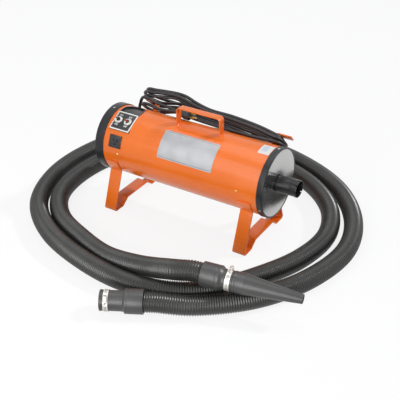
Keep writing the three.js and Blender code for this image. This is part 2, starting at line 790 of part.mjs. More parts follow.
// ---------------------------------------------------------------------------- socket

// Puts a piece drawn with +Z out of the socket's face, and Z = 0 on the barrel.
const socketFrame = (geometry) =>
  geometry.translate(0, 0, barrelRadius)
    .rotateX(Math.PI / 2 - degrees(socketAngle))
    .translate(socketCentre, 0, 0);

const socketSpace = () => socketFrame(block(
  -socketBody.width / 2 - fitGap, socketBody.width / 2 + fitGap,
  -socketBody.height / 2 - fitGap, socketBody.height / 2 + fitGap,
  -socketBody.depth - fitGap, socketBody.depth));

function makeSocket() {
  const face = socketStand;
  const sag = barrelRadius - Math.sqrt(barrelRadius ** 2 - (socketHeight / 2) ** 2);
  const flange = socketFrame(block(-socketWidth / 2, socketWidth / 2,
    -socketHeight / 2, socketHeight / 2, -sag - 1, face));
  const body = socketFrame(block(-socketBody.width / 2, socketBody.width / 2,
    -socketBody.height / 2, socketBody.height / 2, -socketBody.depth, face - 0.5));
  const slots = [-1, 1].map((side) => {
    const x = side * socketSlot.spacing / 2;
    return socketFrame(block(x - socketSlot.width / 2, x + socketSlot.width / 2,
      socketSlot.rise - socketSlot.height / 2, socketSlot.rise + socketSlot.height / 2,
      face - socketHoleDepth, face + 1));
  });
  const earth = socketFrame(rod(face - socketHoleDepth, face + 1, socketEarth.radius, 16)
    .rotateY(-Math.PI / 2).translate(0, -socketEarth.drop, 0));
  return part('outlet_socket', cut(join(cut(flange, barrelSpace()), body), ...slots, earth), blackPlastic);
}

// ------------------------------------------------------------------ handle and hooks

function makeHandle() {
  const half = (handleLength - handleStrap) / 2;
  const top = barrelRadius + handleRise - handleStrap / 2;
  const foot = barrelRadius - 3; // the barrel trims this down to its surface
  const path = bentPath([
    [handleCentre - half, foot], [handleCentre - half, top, handleBend],
    [handleCentre + half, top, handleBend], [handleCentre + half, foot],
  ]);
  return part('carry_handle',
    cut(acrossY(strapShape(path, handleStrap), handleWidth), barrelSpace()), orangePaint);
}

// The hooks and the hank: +Z is out of the barrel, and -Y is towards its top.
const hookFrame = new THREE.Matrix4().makeRotationX(degrees(hookAngle - 90));

// A cord hook: a foot on the barrel, a post straight out of it, and a tip towards the end.
function makeHook(side, place, direction) {
  const x = (reach) => place + direction * reach;
  const low = barrelRadius + fitGap + hookStrap / 2;
  const high = barrelRadius + hookHeight - hookStrap / 2;
  const path = bentPath([
    [x(-hookFoot), low], [x(0), low, hookBend], [x(0), high, hookBend], [x(hookTip), high],
  ]);
  return part(`cord_hook_${side}`,
    cut(acrossY(strapShape(path, hookStrap), hookWidth), barrelSpace()), orangePaint);
}

// ------------------------------------------------------------------------------ legs

function makeLeg(side, x) {
  const middle = barrelRadius + fitGap + legStrap / 2;
  const ground = -axisHeight + legStrap / 2;
  const raised = ground + footStepRise;
  const foot = footReach - legStrap / 2;
  const tab = arcPoints(middle, legTabTop, legTabEnd, 5).map((p) => [p.x, p.y]);
  const half = [
    ...tab.slice(0, -1), [...tab.at(-1), legBend],
    [-foot, ground, legBend], [-footFlatEnd, ground, legBend], [-footStepEnd, raised, legBend],
  ];
  const otherHalf = half.map(([y, z, bend]) => [-y, z, bend]).reverse();
  const strap = strapShape(bentPath([...half, ...otherHalf]), legStrap);
  return part(`leg_${side}`, alongX(strap, x - legWidth / 2, x + legWidth / 2), orangePaint);
}

// ---------------------------------------------------------------------- cord and plug

function makeRelief() {
  const tipAt = reliefLength;
  const lipAt = -barrelWall - reliefLipGap;
  const lipRadius = reliefNeckRadius + reliefLip;
  const flangeAt = fitGap * 2;
  return part('strain_relief', facingOut(turned([
    [lipAt - reliefLip, 0], [lipAt - reliefLip, lipRadius], [lipAt, lipRadius],
    [lipAt, reliefNeckRadius], [flangeAt, reliefNeckRadius],
    [flangeAt, reliefFlangeRadius], [flangeAt + reliefFlangeThickness, reliefFlangeRadius],
    [flangeAt + reliefFlangeThickness, reliefNeckRadius], [tipAt, reliefTipRadius], [tipAt, 0],
  ], 20), reliefPlace, barrelRadius, 180 - reliefAngle), rubber);
}

// A long loop with round ends.
function loopOutline(PathKind, radius) {
  const loop = new PathKind();
  loop.absarc(hankLeftFold, hankDrop, radius, Math.PI / 2, 1.5 * Math.PI);
  loop.absarc(hankRightFold, hankDrop, radius, -Math.PI / 2, Math.PI / 2);
  return loop;
}

// Height over the barrel of one of the hank's faces, which slope from left to right.
function hankHeight(face, x) {
  return THREE.MathUtils.lerp(...face, (x - hankLeftFold) / (hankRightFold - hankLeftFold));
}

// The hank stands off at the left, where its turns lie over the hook's tip. At the right it
// is pressed down under the tip.
function makeHank() {
  const outline = loopOutline(THREE.Shape, hankInnerRadius + hankBand);
  outline.holes.push(loopOutline(THREE.Path, hankInnerRadius));
  const hank = extruded(outline, 1);
  const places = hank.attributes.position;
  for (let i = 0; i < places.count; i += 1) {
    const low = hankHeight(hankLow, places.getX(i));
    const high = hankHeight(hankHigh, places.getX(i));
    places.setZ(i, barrelRadius + THREE.MathUtils.lerp(low, high, places.getZ(i)));
  }
  const underTip = barrelRadius + hookHeight - hookStrap - fitGap;
  const room = hookWidth / 2 + fitGap;
  const tipSpace = block(
    rightHookX, rightHookX + hookTip + fitGap, -room, room, underTip, barrelRadius + hankHigh[0]);
  return part('power_cord_hank', cut(hank, tipSpace), rubber);
}

function makePlug() {
  const body = turned([
    [-plugLength, 0], [-plugLength, plugNeckRadius], [-plugLength * 0.55, plugNeckRadius + 1.5],
    [-plugLength * 0.4, plugRadius], [0, plugRadius], [0, 0],
  ], 20);
  const blades = [-1, 1].map((side) => {
    const z = side * blade.spacing / 2;
    return block(-2, blade.length, -blade.width / 2, blade.width / 2,
      z - blade.thickness / 2, z + blade.thickness / 2);
  });
  const pin = rod(-2, earthPin.length, earthPin.radius, 12).translate(0, earthPin.drop, 0);
  return part('power_plug', join(body, ...blades, pin)
    .translate(plugEnd, -plugAhead, barrelRadius + plugHeight), blackPlastic);
}

// A point on the hank's frame: along the barrel, towards its top, and out of it.
const hankPoint = (x, ahead, height) => [x, -ahead, barrelRadius + height];

// From the plug back to the outside of the hank's front run.
function makeTail() {
  const start = plugEnd - plugLength - fitGap;
  const beside = hankInnerRadius + hankBand - hankDrop + cordRadius + fitGap;
  const joined = start - 2 * cordRadius - tailBend;
  const tail = smoothCurve([
    hankPoint(start, plugAhead, plugHeight),
    hankPoint(start - 2 * cordRadius, plugAhead, plugHeight),
    hankPoint(joined + tailBend / 2, (plugAhead + beside) / 2, plugHeight + tailRise[0]),
    hankPoint(joined, beside + 1, plugHeight + tailRise[1]),
    hankPoint(joined - tailRun, beside, plugHeight + tailRise[2]),
  ]);
  return part('power_cord_tail', swept(tail, cordRadius, cordSides, 8), rubber);
}

// From the strain relief over the back of the barrel's end, and in under the hank's left fold.
function makeLead() {
  const onRelief = (reach) => {
    const place = polar(barrelRadius + reach, 180 - reliefAngle);
    return [reliefPlace, place.x, place.y];
  };
  const endHeight = hankHeight(hankLow, leadEnd[0]) - cordRadius - leadRoom;
  const upHooks = [...leadUpHooks, [...leadEnd, endHeight]].map((place) => (
    new THREE.Vector3(...hankPoint(...place)).applyMatrix4(hookFrame).toArray()));
  const lead = smoothCurve([
    onRelief(reliefLength + fitGap), onRelief(reliefLength + 10), ...leadRoute, ...upHooks,
  ]);
  return part('power_cord_lead', swept(lead, cordRadius, cordSides, 20), rubber);
}

// -------------------------------------------------------------------- hose and nozzle

// A place whose +X looks along a direction, with +Z as near upright as that allows.
function aimed(from, direction) {
  const ahead = direction.clone().normalize();
  const side = new THREE.Vector3(0, 0, 1).cross(ahead).normalize();
  return new THREE.Matrix4().makeBasis(ahead, side, ahead.clone().cross(side)).setPosition(from);
}

const couplingStart = new THREE.Vector3(...couplingMouth);
const couplingAhead = new THREE.Vector3(1, 0, 0)
  .applyAxisAngle(new THREE.Vector3(0, 0, 1), degrees(couplingHeading));
const couplingLength = rimLength + neckLength + neckSlope + cuffLength;
const nozzleStart = new THREE.Vector3(...nozzleBase);
const nozzleAhead = new THREE.Vector3(...nozzleTip).sub(nozzleStart).normalize();

// A worm-drive clamp round a neck along X. Its housing and screw stand at +Z, and the
// group is turned about X to put them anywhere round the neck.
function makeClamp(name, x, seatRadius, turn) {
  const inner = seatRadius + fitGap;
  const outer = inner + bandThickness;
  const band = tube(x - bandWidth / 2, x + bandWidth / 2, inner, outer, smallRoundSegments);
  const housing = block(x - bandWidth / 2 + 1, x + bandWidth / 2 - 1,
    -clampHousing.length / 2, clampHousing.length / 2,
    inner + bandThickness / 2, outer + clampHousing.height);
  const seat = rod(x - bandWidth, x + bandWidth, inner, smallRoundSegments);
  const wormLevel = outer + clampHousing.height / 2;
  const alongY = (geometry) => geometry.rotateZ(Math.PI / 2).translate(x, 0, wormLevel);
  const bore = alongY(rod(-clampHousing.length, clampHousing.length, wormRadius + bearingClearance, 16));
  const headAt = clampHousing.length / 2 + fitGap;
  const worm = turned([
    [headAt - wormLength, 0], [headAt - wormLength, wormRadius], [headAt, wormRadius],
    [headAt, wormHeadRadius], [headAt + wormHeadLength, wormHeadRadius], [headAt + wormHeadLength, 0],
  ], 12);
  const holder = group([
    part(`${name}_clamp_band`, cut(join(band, cut(housing, seat)), bore), steel),
    part(`${name}_clamp_screw`, alongY(worm), steel),
  ]);
  holder.rotation.x = degrees(turn);
  return holder;
}

function makeCoupling() {
  const cuffAt = rimLength + neckLength + neckSlope;
  const cuff = turned([
    [0, couplingBore], [0, rimRadius], [rimLength, rimRadius], [rimLength, neckRadius],
    [rimLength + neckLength, neckRadius], [cuffAt, cuffRadius],
    [couplingLength, cuffRadius], [couplingLength, couplingBore],
  ], smallRoundSegments);
  const clampAt = rimLength + bandWidth / 2 + 6;
  return group([
    part('coupling_cuff', cuff, blackPlastic),
    makeClamp('coupling', clampAt, neckRadius, 50),
  ], aimed(couplingStart, couplingAhead));
}

function makeNozzle() {
  const neckAt = nozzleCuffLength + neckSlope;
  const neckEnd = neckAt + nozzleNeckLength;
  const cuff = turned([
    [fitGap, couplingBore], [fitGap, cuffRadius], [nozzleCuffLength, cuffRadius],
    [neckAt, neckRadius], [neckEnd, neckRadius], [neckEnd, couplingBore],
  ], smallRoundSegments);
  const collarAt = neckEnd + fitGap;
  const coneAt = collarAt + nozzleCollarLength;
  const tipAt = coneAt + nozzleConeLength;
  const stubRadius = couplingBore - fitGap;
  const nozzle = turned([
    [collarAt - nozzleStub, stubRadius - nozzleWall], [collarAt - nozzleStub, stubRadius],
    [collarAt, stubRadius], [collarAt, nozzleCollarRadius], [coneAt, nozzleCollarRadius],
    [tipAt, nozzleTipRadius], [tipAt, nozzleTipRadius - nozzleWall],
    [coneAt, stubRadius - nozzleWall],
  ], smallRoundSegments);
  return group([
    part('nozzle_cuff', cuff, blackPlastic),
    makeClamp('nozzle', neckAt + nozzleNeckLength / 2 + 2, neckRadius, -12),
    part('air_nozzle', nozzle, blackPlastic),
  ], aimed(nozzleStart, nozzleAhead));
}

// The hose leaves each cuff straight.
function makeHose() {
  const along = (from, ahead, reach) => from.clone().addScaledVector(ahead, reach).toArray();
  const middle = smoothCurve([
    along(couplingStart, couplingAhead, couplingLength + fitGap),
    along(couplingStart, couplingAhead, couplingLength + hoseRadius),
    ...hoseRoute,
    along(nozzleStart, nozzleAhead, -hoseRadius),
    nozzleStart.toArray(),
  ]);
  return part('air_hose',
    swept(middle, hoseRadius, hoseSides, hoseSteps, hoseRadius - hoseWall), hoseVinyl);
}

// -------------------------------------------------------------------------- assembly

// The dryer stands with the middle of its length, spout included, over the origin.
const dryer = group([
  makeBarrel(), ...makeCaps(), makeSpout(), ...makeIntake(), ...makeMotors(),
  ...makeConsole(), makeSocket(),
  part('name_plate', wrappedSheet(namePlate, 12), nameFoil),
  part('blank_label', wrappedSheet({ ...label, middle: bodyHalf - labelInset }, 5), labelPaper),
  makeHandle(), makeLeg('left', -legOffset), makeLeg('right', legOffset),
  group([
    makeHook('left', leftHookX, -1), makeHook('right', rightHookX, 1),
    makeHank(), makeTail(), makePlug(),
  ], hookFrame),
  makeRelief(), makeLead(), ...makeScrews(),
], new THREE.Matrix4().setPosition(-spoutReach / 2, 0, axisHeight));

export default group([dryer, makeHose(), makeCoupling(), makeNozzle()]);
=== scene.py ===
# %% [markdown]
# # A pet dryer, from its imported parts
# The real object is a force dryer for grooming animals: an orange steel barrel on two
# strap legs, with black end caps, a spout, a switch console, a mains cord wound on two
# hooks, and a long corrugated hose. The CAD frame already holds every part at its real
# size, so this lesson gives each part the shape detail and the finish that it has in use.
# All lengths below are millimetres until the moment a mesh is made.

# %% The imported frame
from math import atan2, ceil, copysign, cos, degrees, pi, radians, sin, sqrt, tan

import bmesh
import bpy
import numpy as np
from mathutils import Matrix, Vector


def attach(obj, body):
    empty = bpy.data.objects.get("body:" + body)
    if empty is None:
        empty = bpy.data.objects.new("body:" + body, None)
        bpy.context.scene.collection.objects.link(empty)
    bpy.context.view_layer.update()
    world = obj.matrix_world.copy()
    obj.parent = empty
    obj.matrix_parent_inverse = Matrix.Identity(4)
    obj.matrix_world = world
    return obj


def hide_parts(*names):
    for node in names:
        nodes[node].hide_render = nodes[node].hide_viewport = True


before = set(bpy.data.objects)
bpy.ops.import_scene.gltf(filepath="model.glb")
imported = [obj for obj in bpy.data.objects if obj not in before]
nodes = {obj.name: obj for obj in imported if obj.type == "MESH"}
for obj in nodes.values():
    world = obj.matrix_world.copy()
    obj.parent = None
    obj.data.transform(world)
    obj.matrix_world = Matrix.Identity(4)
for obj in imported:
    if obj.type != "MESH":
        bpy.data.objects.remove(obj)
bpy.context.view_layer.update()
scene = bpy.context.scene
mm = 0.001
print("parts in the frame:", len(nodes))

# %% [markdown]
# ## The camera
# A long lens a good way off keeps the barrel's ends nearly the same size, as a catalogue
# view does. `to_track_quat` turns the camera until its -Z axis looks at the target, which
# is easier to read than three angles.

# %% Objects, and the way they face
def placed(name, data):
    """Puts a lens, a mesh, a curve or a lamp into the scene as an object."""
    thing = bpy.data.objects.new(name, data)
    scene.collection.objects.link(thing)
    return thing


def facing(thing, place, target):
    """Moves a camera or a lamp to a place and turns it to face a target."""
    thing.location = place
    thing.rotation_euler = (Vector(target) - Vector(place)).to_track_quat("-Z", "Y").to_euler()
    return thing


# %% The studio camera
camera_place = Vector((1124.8, -1844.7, 1395.9)) * mm
camera_target = Vector((-7.4, 0, 55.4)) * mm
lens = bpy.data.cameras.new("studio_camera")
lens.lens = 75.1
lens.sensor_width = 36
scene.camera = facing(placed("studio_camera", lens), camera_place, camera_target)
print("camera distance in metres:", round((camera_target - camera_place).length, 3))

# %% [markdown]
# ## Where things are
# The barrel lies along X with its middle 32 mm left of the frame's origin, because the
# spout takes part in the centring. A place is a matrix: the hooks lean back from the top
# of the barrel, so whatever hangs on them is drawn upright and then turned with them.

# %% The barrel's place and the hooks' place
barrel_radius = 101.6
fit_gap = 0.3
hook_lean = 48


def at(x, y=0, z=0):
    """A step along each direction."""
    return Matrix.Translation((x, y, z))


def tilted(angle):
    """A turn in degrees about the barrel's own direction, X."""
    return Matrix.Rotation(radians(angle), 4, "X")


def swung(angle):
    """A turn in degrees about the upright direction, Z."""
    return Matrix.Rotation(radians(angle), 4, "Z")


in_barrel = at(-32, 0, 196)
in_hooks = in_barrel @ tilted(-hook_lean)
print("hooks lean back by", hook_lean, "degrees from upright")


# %% Helpers for places on the barrel and on the hooks
def round_barrel(x, radius, angle):
    """A point at a radius and an angle up from the barrel's front."""
    turn = radians(angle)
    return Vector((x, -radius * cos(turn), radius * sin(turn)))


def over_hooks(x, ahead, height):
    """A point by the hooks: along the barrel, towards its top, and out of it."""
    return Vector((x, -ahead, barrel_radius + height))


def standing_out(x, radius, angle):
    """A place on the barrel whose +X points straight out of it."""
    return in_barrel @ at(x) @ tilted(-angle) @ at(0, -radius) @ swung(-90)


def moved(place, points):
    """Points carried to a place."""
    return [place @ Vector(point) for point in points]


def aimed(start, ahead):
    """A place whose +X looks along a direction, with +Z as near upright as it can be."""
    ahead = ahead.normalized()
    side = Vector((0, 0, 1)).cross(ahead).normalized()
    turn = Matrix((ahead, side, ahead.cross(side))).transposed().to_4x4()
    return at(*start) @ turn


top = in_barrel @ round_barrel(0, barrel_radius, 90)
print("top of the barrel:", [round(v, 1) for v in top])

# %% [markdown]
# ## One way to make a mesh
# Nearly every piece below is a skin over rings of points: a hose, a bent strap and a turned
# cap differ only in their rings. One helper joins the rings, and another turns points and
# faces into an object with soft shading, hard edges where the angle is sharp, and a finish.


# %% Skin over rings
def skinned(rings, looped=False):
    """Points and faces over rings of equal count, with a flat face at each open end."""
    count, sides = len(rings), len(rings[0])
    points = [point for ring in rings for point in ring]
    faces = []
    for i in range(count if looped else count - 1):
        a, b = i * sides, (i + 1) % count * sides
        faces += [(a + j, a + (j + 1) % sides, b + (j + 1) % sides, b + j) for j in range(sides)]
    if not looped:
        faces += [tuple(range(sides))[::-1], tuple(range((count - 1) * sides, count * sides))]
    return points, faces


def soften(mesh, crease):
    """Smooth shading, with a hard edge wherever two faces meet at more than the crease."""
    work = bmesh.new()
    work.from_mesh(mesh)
    bmesh.ops.remove_doubles(work, verts=work.verts, dist=1e-6)
    bmesh.ops.recalc_face_normals(work, faces=work.faces)
    for face in work.faces:
        face.smooth = True
    limit = radians(crease)
    for edge in work.edges:
        edge.smooth = len(edge.link_faces) == 2 and edge.calc_face_angle(0) < limit
    work.to_mesh(mesh)
    work.free()


# %% From points to a finished piece
def settle(obj, finish, body="dryer", stands_for=()):
    """Gives a piece its finish and its body, and hides the CAD nodes it stands for."""
    obj.data.materials.clear()
    obj.data.materials.append(finish)
    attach(obj, body)
    if stands_for:
        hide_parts(*([stands_for] if isinstance(stands_for, str) else stands_for))
    return obj


def mesh_of(name, shape, place, crease):
    """A mesh in metres from a shape in millimetres, carried to its place."""
    points, faces = shape
    mesh = bpy.data.meshes.new(name)
    mesh.from_pydata([point * mm for point in moved(place, points)], [], faces)
    soften(mesh, crease)
    return mesh


def piece(name, shape, finish, place=in_barrel, body="dryer", stands_for=(), crease=32):
    """A finished piece from a shape."""
    return settle(placed(name, mesh_of(name, shape, place, crease)), finish, body, stands_for)


# %% Rounded corners for a drawn line
def eased(corners, closed=False, step=15):
    """A line through corners (a, b, radius), with an arc of that radius at each."""
    line = []
    for i, corner in enumerate(corners):
        here = Vector(corner[:2])
        radius = corner[2] if len(corner) > 2 else 0
        if not radius:
            line.append(tuple(here))
            continue
        incoming = (here - Vector(corners[i - 1][:2])).normalized()
        outgoing = (Vector(corners[(i + 1) % len(corners)][:2]) - here).normalized()
        turn = atan2(incoming.x * outgoing.y - incoming.y * outgoing.x, incoming.dot(outgoing))
        start = here - incoming * radius * tan(abs(turn) / 2)
        side = Vector((-incoming.y, incoming.x)) * copysign(radius, turn)
        centre = start + side
        arm = start - centre
        steps = max(2, ceil(abs(degrees(turn)) / step))
        for k in range(steps + 1):
            c, s = cos(turn * k / steps), sin(turn * k / steps)
            line.append((centre.x + arm.x * c - arm.y * s, centre.y + arm.x * s + arm.y * c))
    return line


def rounded_box(left, low, right, high, corner, step):
    """A closed line round a rectangle with rounded corners."""
    return eased([(left, low, corner), (right, low, corner), (right, high, corner),
                  (left, high, corner)], True, step)


# %% Turned and strap shapes
def turned(profile, sides=96):
    """A shape turned about X from (x, radius, ease) corners: solid if it starts on the axis."""
    hollow = profile[0][1] > 0
    spins = [2 * pi * j / sides for j in range(sides)]
    rings = [[(x, r * cos(t), r * sin(t)) for t in spins] for x, r in eased(profile, hollow)]
    return skinned(rings, looped=hollow)


def upright(profile, sides):
    """A turned shape that stands along Z."""
    points, faces = turned(profile, sides)
    return [(-z, y, x) for x, y, z in points], faces


def strap(path, width, thickness, ease):
    """A flat bar with rounded edges, bent along a path of (along, up)."""
    half, deep = width / 2, thickness / 2
    section = rounded_box(-half, -deep, half, deep, ease, 30)
    rings = []
    for i, here in enumerate(path):
        here = Vector(here)
        before = (here - Vector(path[i - 1])).normalized() if i else None
        after = (Vector(path[i + 1]) - here).normalized() if i < len(path) - 1 else None
        ahead = ((before or after) + (after or before)).normalized()
        reach = 1 / max(ahead.dot(before or after), 0.5)
        normal = Vector((-ahead.y, ahead.x)) * reach
        rings.append([(here.x + normal.x * up, across, here.y + normal.y * up) for across, up in section])
    return skinned(rings)


def bar(x0, x1, width, thickness, ease):
    """A straight bar along X with rounded edges."""
    return strap([(x0, 0), (x0 + ease, 0), (x1 - ease, 0), (x1, 0)], width, thickness, ease)


print("helpers ready: skinned, piece, eased, turned, upright, strap, bar")

# %% [markdown]
# ## Finishes
# A finish is more than a colour. Each one here starts from the same recipe: a broad noise
# that shifts the colour and the gloss a little, and a fine noise that makes a bump at the
# scale of the real surface. Values that are the same everywhere are typed straight into
# the shader, so that they survive when the model is exported.


# %% Nodes and the wires between them
def filled(node, values):
    """Types values into a shader node's sockets."""
    for socket, value in values.items():
        node.inputs[socket].default_value = value
    return node


def added(tree, kind, **values):
    """A new shader node. An underscore in a socket's name stands for a space."""
    node = tree.nodes.new("ShaderNode" + kind)
    return filled(node, {socket.replace("_", " "): value for socket, value in values.items()})


def ramp(tree, *stops):
    """A node that turns a number into a colour, between two (position, colour) stops."""
    node = added(tree, "ValToRGB")
    for element, (position, colour) in zip(node.color_ramp.elements, stops):
        element.position = position
        element.color = (*colour, 1)
    return node


def wired(tree, *wires):
    """Joins sockets, each wire being a node, its output, the next node and its input."""
    for source, output, target, socket in wires:
        tree.links.new(source.outputs[output], target.inputs[socket])


# %% One recipe for a finish
def finish_of(name, slot, colour, second, gloss, grain, depth, metallic=0.0, patch=9.0, coat=0.0,
              shine=0.5):
    """A material: two colours that drift, a range of roughness, and a fine bump."""
    made = bpy.data.materials.new(name)
    made.use_nodes = True
    made["slot"] = slot
    made.diffuse_color = (*colour, 1)
    tree = made.node_tree
    shader = filled(tree.nodes["Principled BSDF"], {
        "Metallic": metallic, "Specular IOR Level": shine, "Coat Weight": coat, "Coat Roughness": 0.12})
    place = added(tree, "TexCoord")
    drift = added(tree, "TexNoise", Scale=patch, Detail=4)
    fine = added(tree, "TexNoise", Scale=grain, Detail=3)
    tint = ramp(tree, (0.32, colour), (0.68, second))
    sheen = added(tree, "MapRange", To_Min=gloss[0], To_Max=gloss[1])
    bump = added(tree, "Bump", Strength=0.6, Distance=depth * mm)
    wired(tree, (place, "Object", drift, "Vector"), (place, "Object", fine, "Vector"),
          (drift, "Fac", tint, "Fac"), (drift, "Fac", sheen, "Value"), (fine, "Fac", bump, "Height"),
          (tint, "Color", shader, "Base Color"), (sheen, "Result", shader, "Roughness"),
          (bump, "Normal", shader, "Normal"))
    return made


# %% [markdown]
# ### Paints
# The barrel, handle, hooks and legs share one orange powder coat. Powder melts into a
# hard glossy skin with a faint orange-peel ripple, so its bump is low and about 2 mm wide.
# The caps are painted black, and the outlet's face has a bright lacquer like a mirror.
# Where edges are knocked the coat wears thin: Cycles' Pointiness is high on sharp edges,
# and a ramp turns that into a slightly darker, duller line.


# %% Edge wear
def colour_mix(tree, **colours):
    """A node that mixes two colours, A and B."""
    node = tree.nodes.new("ShaderNodeMix")
    node.data_type = "RGBA"
    return filled(node, {socket: (*colour, 1) for socket, colour in colours.items()})


def worn(made, edge_colour, strength):
    """Blends a worn colour in along the sharp edges of a finish."""
    tree = made.node_tree
    shader = tree.nodes["Principled BSDF"]
    tint = shader.inputs["Base Color"].links[0].from_node
    edges = added(tree, "NewGeometry")
    catch = ramp(tree, (0.56, (0, 0, 0)), (0.66, (strength, strength, strength)))
    blend = colour_mix(tree, B=edge_colour)
    wired(tree, (edges, "Pointiness", catch, "Fac"), (catch, "Color", blend, "Factor"),
          (tint, "Color", blend, "A"), (blend, "Result", shader, "Base Color"))
    return made


# %% Orange and black paint
orange_coat = worn(finish_of(
    "orange_powder_coat", "orange_paint", (0.79, 0.150, 0.009), (0.85, 0.172, 0.013),
    (0.20, 0.30), 420, 0.05, coat=0.08), (0.42, 0.07, 0.012), 0.5)
cap_coat = worn(finish_of(
    "black_cap_coat", "black_paint", (0.016, 0.017, 0.019), (0.026, 0.027, 0.030),
    (0.26, 0.38), 520, 0.06, shine=0.3), (0.08, 0.08, 0.084), 0.6)
face_coat = worn(finish_of(
    "bright_face_lacquer", "black_paint", (0.47, 0.47, 0.465), (0.53, 0.53, 0.525),
    (0.16, 0.22), 700, 0.02, metallic=0.98), (0.60, 0.60, 0.60), 0.4)
print("paints:", orange_coat.name, cap_coat.name, face_coat.name)

# %% [markdown]
# ### Plastics, rubber and foam
# The spout, cuffs and nozzle are moulded black plastic with a satin skin. The hose is a
# soft vinyl that looks greyer because its ribs catch the light, and the cord's jacket is
# a dull rubber. The filter is open foam, made here by a strong bump of small cells.

# %% Moulded and soft finishes
spout_plastic = finish_of(
    "black_spout_plastic", "black_plastic", (0.012, 0.012, 0.013), (0.018, 0.018, 0.019),
    (0.18, 0.28), 600, 0.04, shine=0.3)
cuff_plastic = finish_of(
    "black_cuff_plastic", "black_plastic", (0.044, 0.044, 0.043), (0.060, 0.060, 0.058),
    (0.30, 0.40), 420, 0.08)
switch_plastic = finish_of(
    "black_switch_plastic", "black_plastic", (0.016, 0.016, 0.018), (0.026, 0.026, 0.029),
    (0.28, 0.40), 800, 0.04)
plug_plastic = finish_of(
    "black_plug_plastic", "black_plastic", (0.020, 0.020, 0.022), (0.030, 0.030, 0.032),
    (0.38, 0.50), 700, 0.06)
hose_skin = finish_of(
    "black_hose_vinyl", "hose_vinyl", (0.022, 0.022, 0.021), (0.034, 0.033, 0.031),
    (0.26, 0.36), 260, 0.12, patch=14)
cord_jacket = finish_of(
    "black_cord_jacket", "rubber", (0.012, 0.009, 0.010), (0.022, 0.017, 0.018),
    (0.34, 0.46), 500, 0.10, patch=20)
lever_red = finish_of(
    "red_lever_plastic", "red_plastic", (0.36, 0.030, 0.020), (0.44, 0.045, 0.030),
    (0.24, 0.34), 800, 0.03)
filter_foam = finish_of(
    "grey_filter_foam", "filter_foam", (0.018, 0.019, 0.020), (0.034, 0.035, 0.037),
    (0.90, 1.0), 620, 1.2)
gasket_felt = finish_of(
    "grey_gasket_felt", "gasket_felt", (0.055, 0.057, 0.060), (0.085, 0.087, 0.090),
    (0.85, 0.95), 900, 0.5)
print("plastics, rubber and foam ready")

# %% [markdown]
# ### Metals
# The clamps and screws are bright steel, the side screws and plug blades are brass, and
# the motor units inside are dull zinc. A metal's colour is its reflection, so Metallic is 1
# on most of them. The clamps and the name foil are satin and look pale from every side, so
# they are only partly metallic. Small shifts in the roughness bring all of them to life.
# The switch plate's enamel and the label's film are plain coats, made here as well.

# %% Metal finishes
clamp_steel = finish_of(
    "satin_clamp_steel", "steel", (0.70, 0.68, 0.63), (0.80, 0.78, 0.73),
    (0.34, 0.48), 900, 0.03, metallic=0.55, patch=60)
bright_steel = finish_of(
    "bright_screw_steel", "steel", (0.34, 0.34, 0.33), (0.42, 0.42, 0.40),
    (0.20, 0.34), 900, 0.03, metallic=1.0, patch=60)
screw_brass = finish_of(
    "yellow_screw_brass", "brass", (0.62, 0.42, 0.13), (0.72, 0.52, 0.20),
    (0.24, 0.38), 900, 0.03, metallic=1.0, patch=60)
motor_zinc = finish_of(
    "dull_motor_zinc", "motor_metal", (0.30, 0.31, 0.32), (0.38, 0.39, 0.40),
    (0.42, 0.58), 300, 0.15, metallic=1.0, patch=30)
plate_foil = finish_of(
    "silver_plate_foil", "name_foil", (0.40, 0.405, 0.415), (0.49, 0.495, 0.51),
    (0.30, 0.46), 240, 0.15, metallic=0.35, patch=24)
white_enamel = finish_of(
    "white_plate_enamel", "white_enamel", (0.70, 0.70, 0.67), (0.78, 0.78, 0.75),
    (0.32, 0.44), 800, 0.03)
label_film = finish_of(
    "white_label_film", "label_paper", (0.68, 0.67, 0.655), (0.75, 0.735, 0.715),
    (0.36, 0.46), 700, 0.04)
label_blue = finish_of(
    "pale_blue_print", "label_paper", (0.50, 0.58, 0.66), (0.55, 0.63, 0.71),
    (0.36, 0.46), 700, 0.04)
print("metals and coated sheets ready")

# %% [markdown]
# ## The hose
# The dryer's hose is a thin vinyl tube with a rib every 6.5 mm, which is what lets it bend
# without closing. Its middle line is a smooth curve through points listed along the floor:
# twice round the dryer, the second time inside the first, then up onto the first turn with
# its nozzle. The ribs could be a bump, but then the outline would be smooth, so they are
# modelled: four rings of points to each rib, wide and narrow in turn.

# %% The hose's route
coupling_start, coupling_turn = Vector((11, -527, 34)), radians(27.9)
coupling_ahead = Vector((cos(coupling_turn), sin(coupling_turn), 0))
nozzle_start = Vector((218, -355, 91.5))
nozzle_ahead = (Vector((478, -303, 80.5)) - nozzle_start).normalized()
hose_radius = 28.5
cuff_end = 115.3
lying_height = 29
on_floor = [
    (223, -415), (343, -310), (428, -167), (465, 12), (424, 173), (317, 315), (158, 408), (-32, 452),
    (-215, 434), (-372, 358), (-481, 231), (-524, 73), (-515, -84), (-447, -236), (-314, -344),
    (-140, -405), (12, -423), (126, -402), (227, -336), (314, -212), (373, -78), (387, 60), (340, 190),
    (241, 292), (100, 356), (-60, 374), (-212, 342), (-344, 261), (-425, 132), (-449, -32),
    (-418, -167), (-336, -262), (-214, -320),
]
climbing = [(-98, -355, 31), (20, -370.5, 53), (80, -368.5, 65), (114, -371, 76.5), (145, -372, 86),
            (170, -367, 90.5)]
hose_points = [
    coupling_start + coupling_ahead * cuff_end,
    coupling_start + coupling_ahead * (cuff_end - fit_gap + hose_radius),
    *[Vector((x, y, lying_height)) for x, y in on_floor],
    *[Vector(point) for point in climbing],
    nozzle_start - nozzle_ahead * hose_radius,
    nozzle_start,
]
print("points on the hose's route:", len(hose_points))


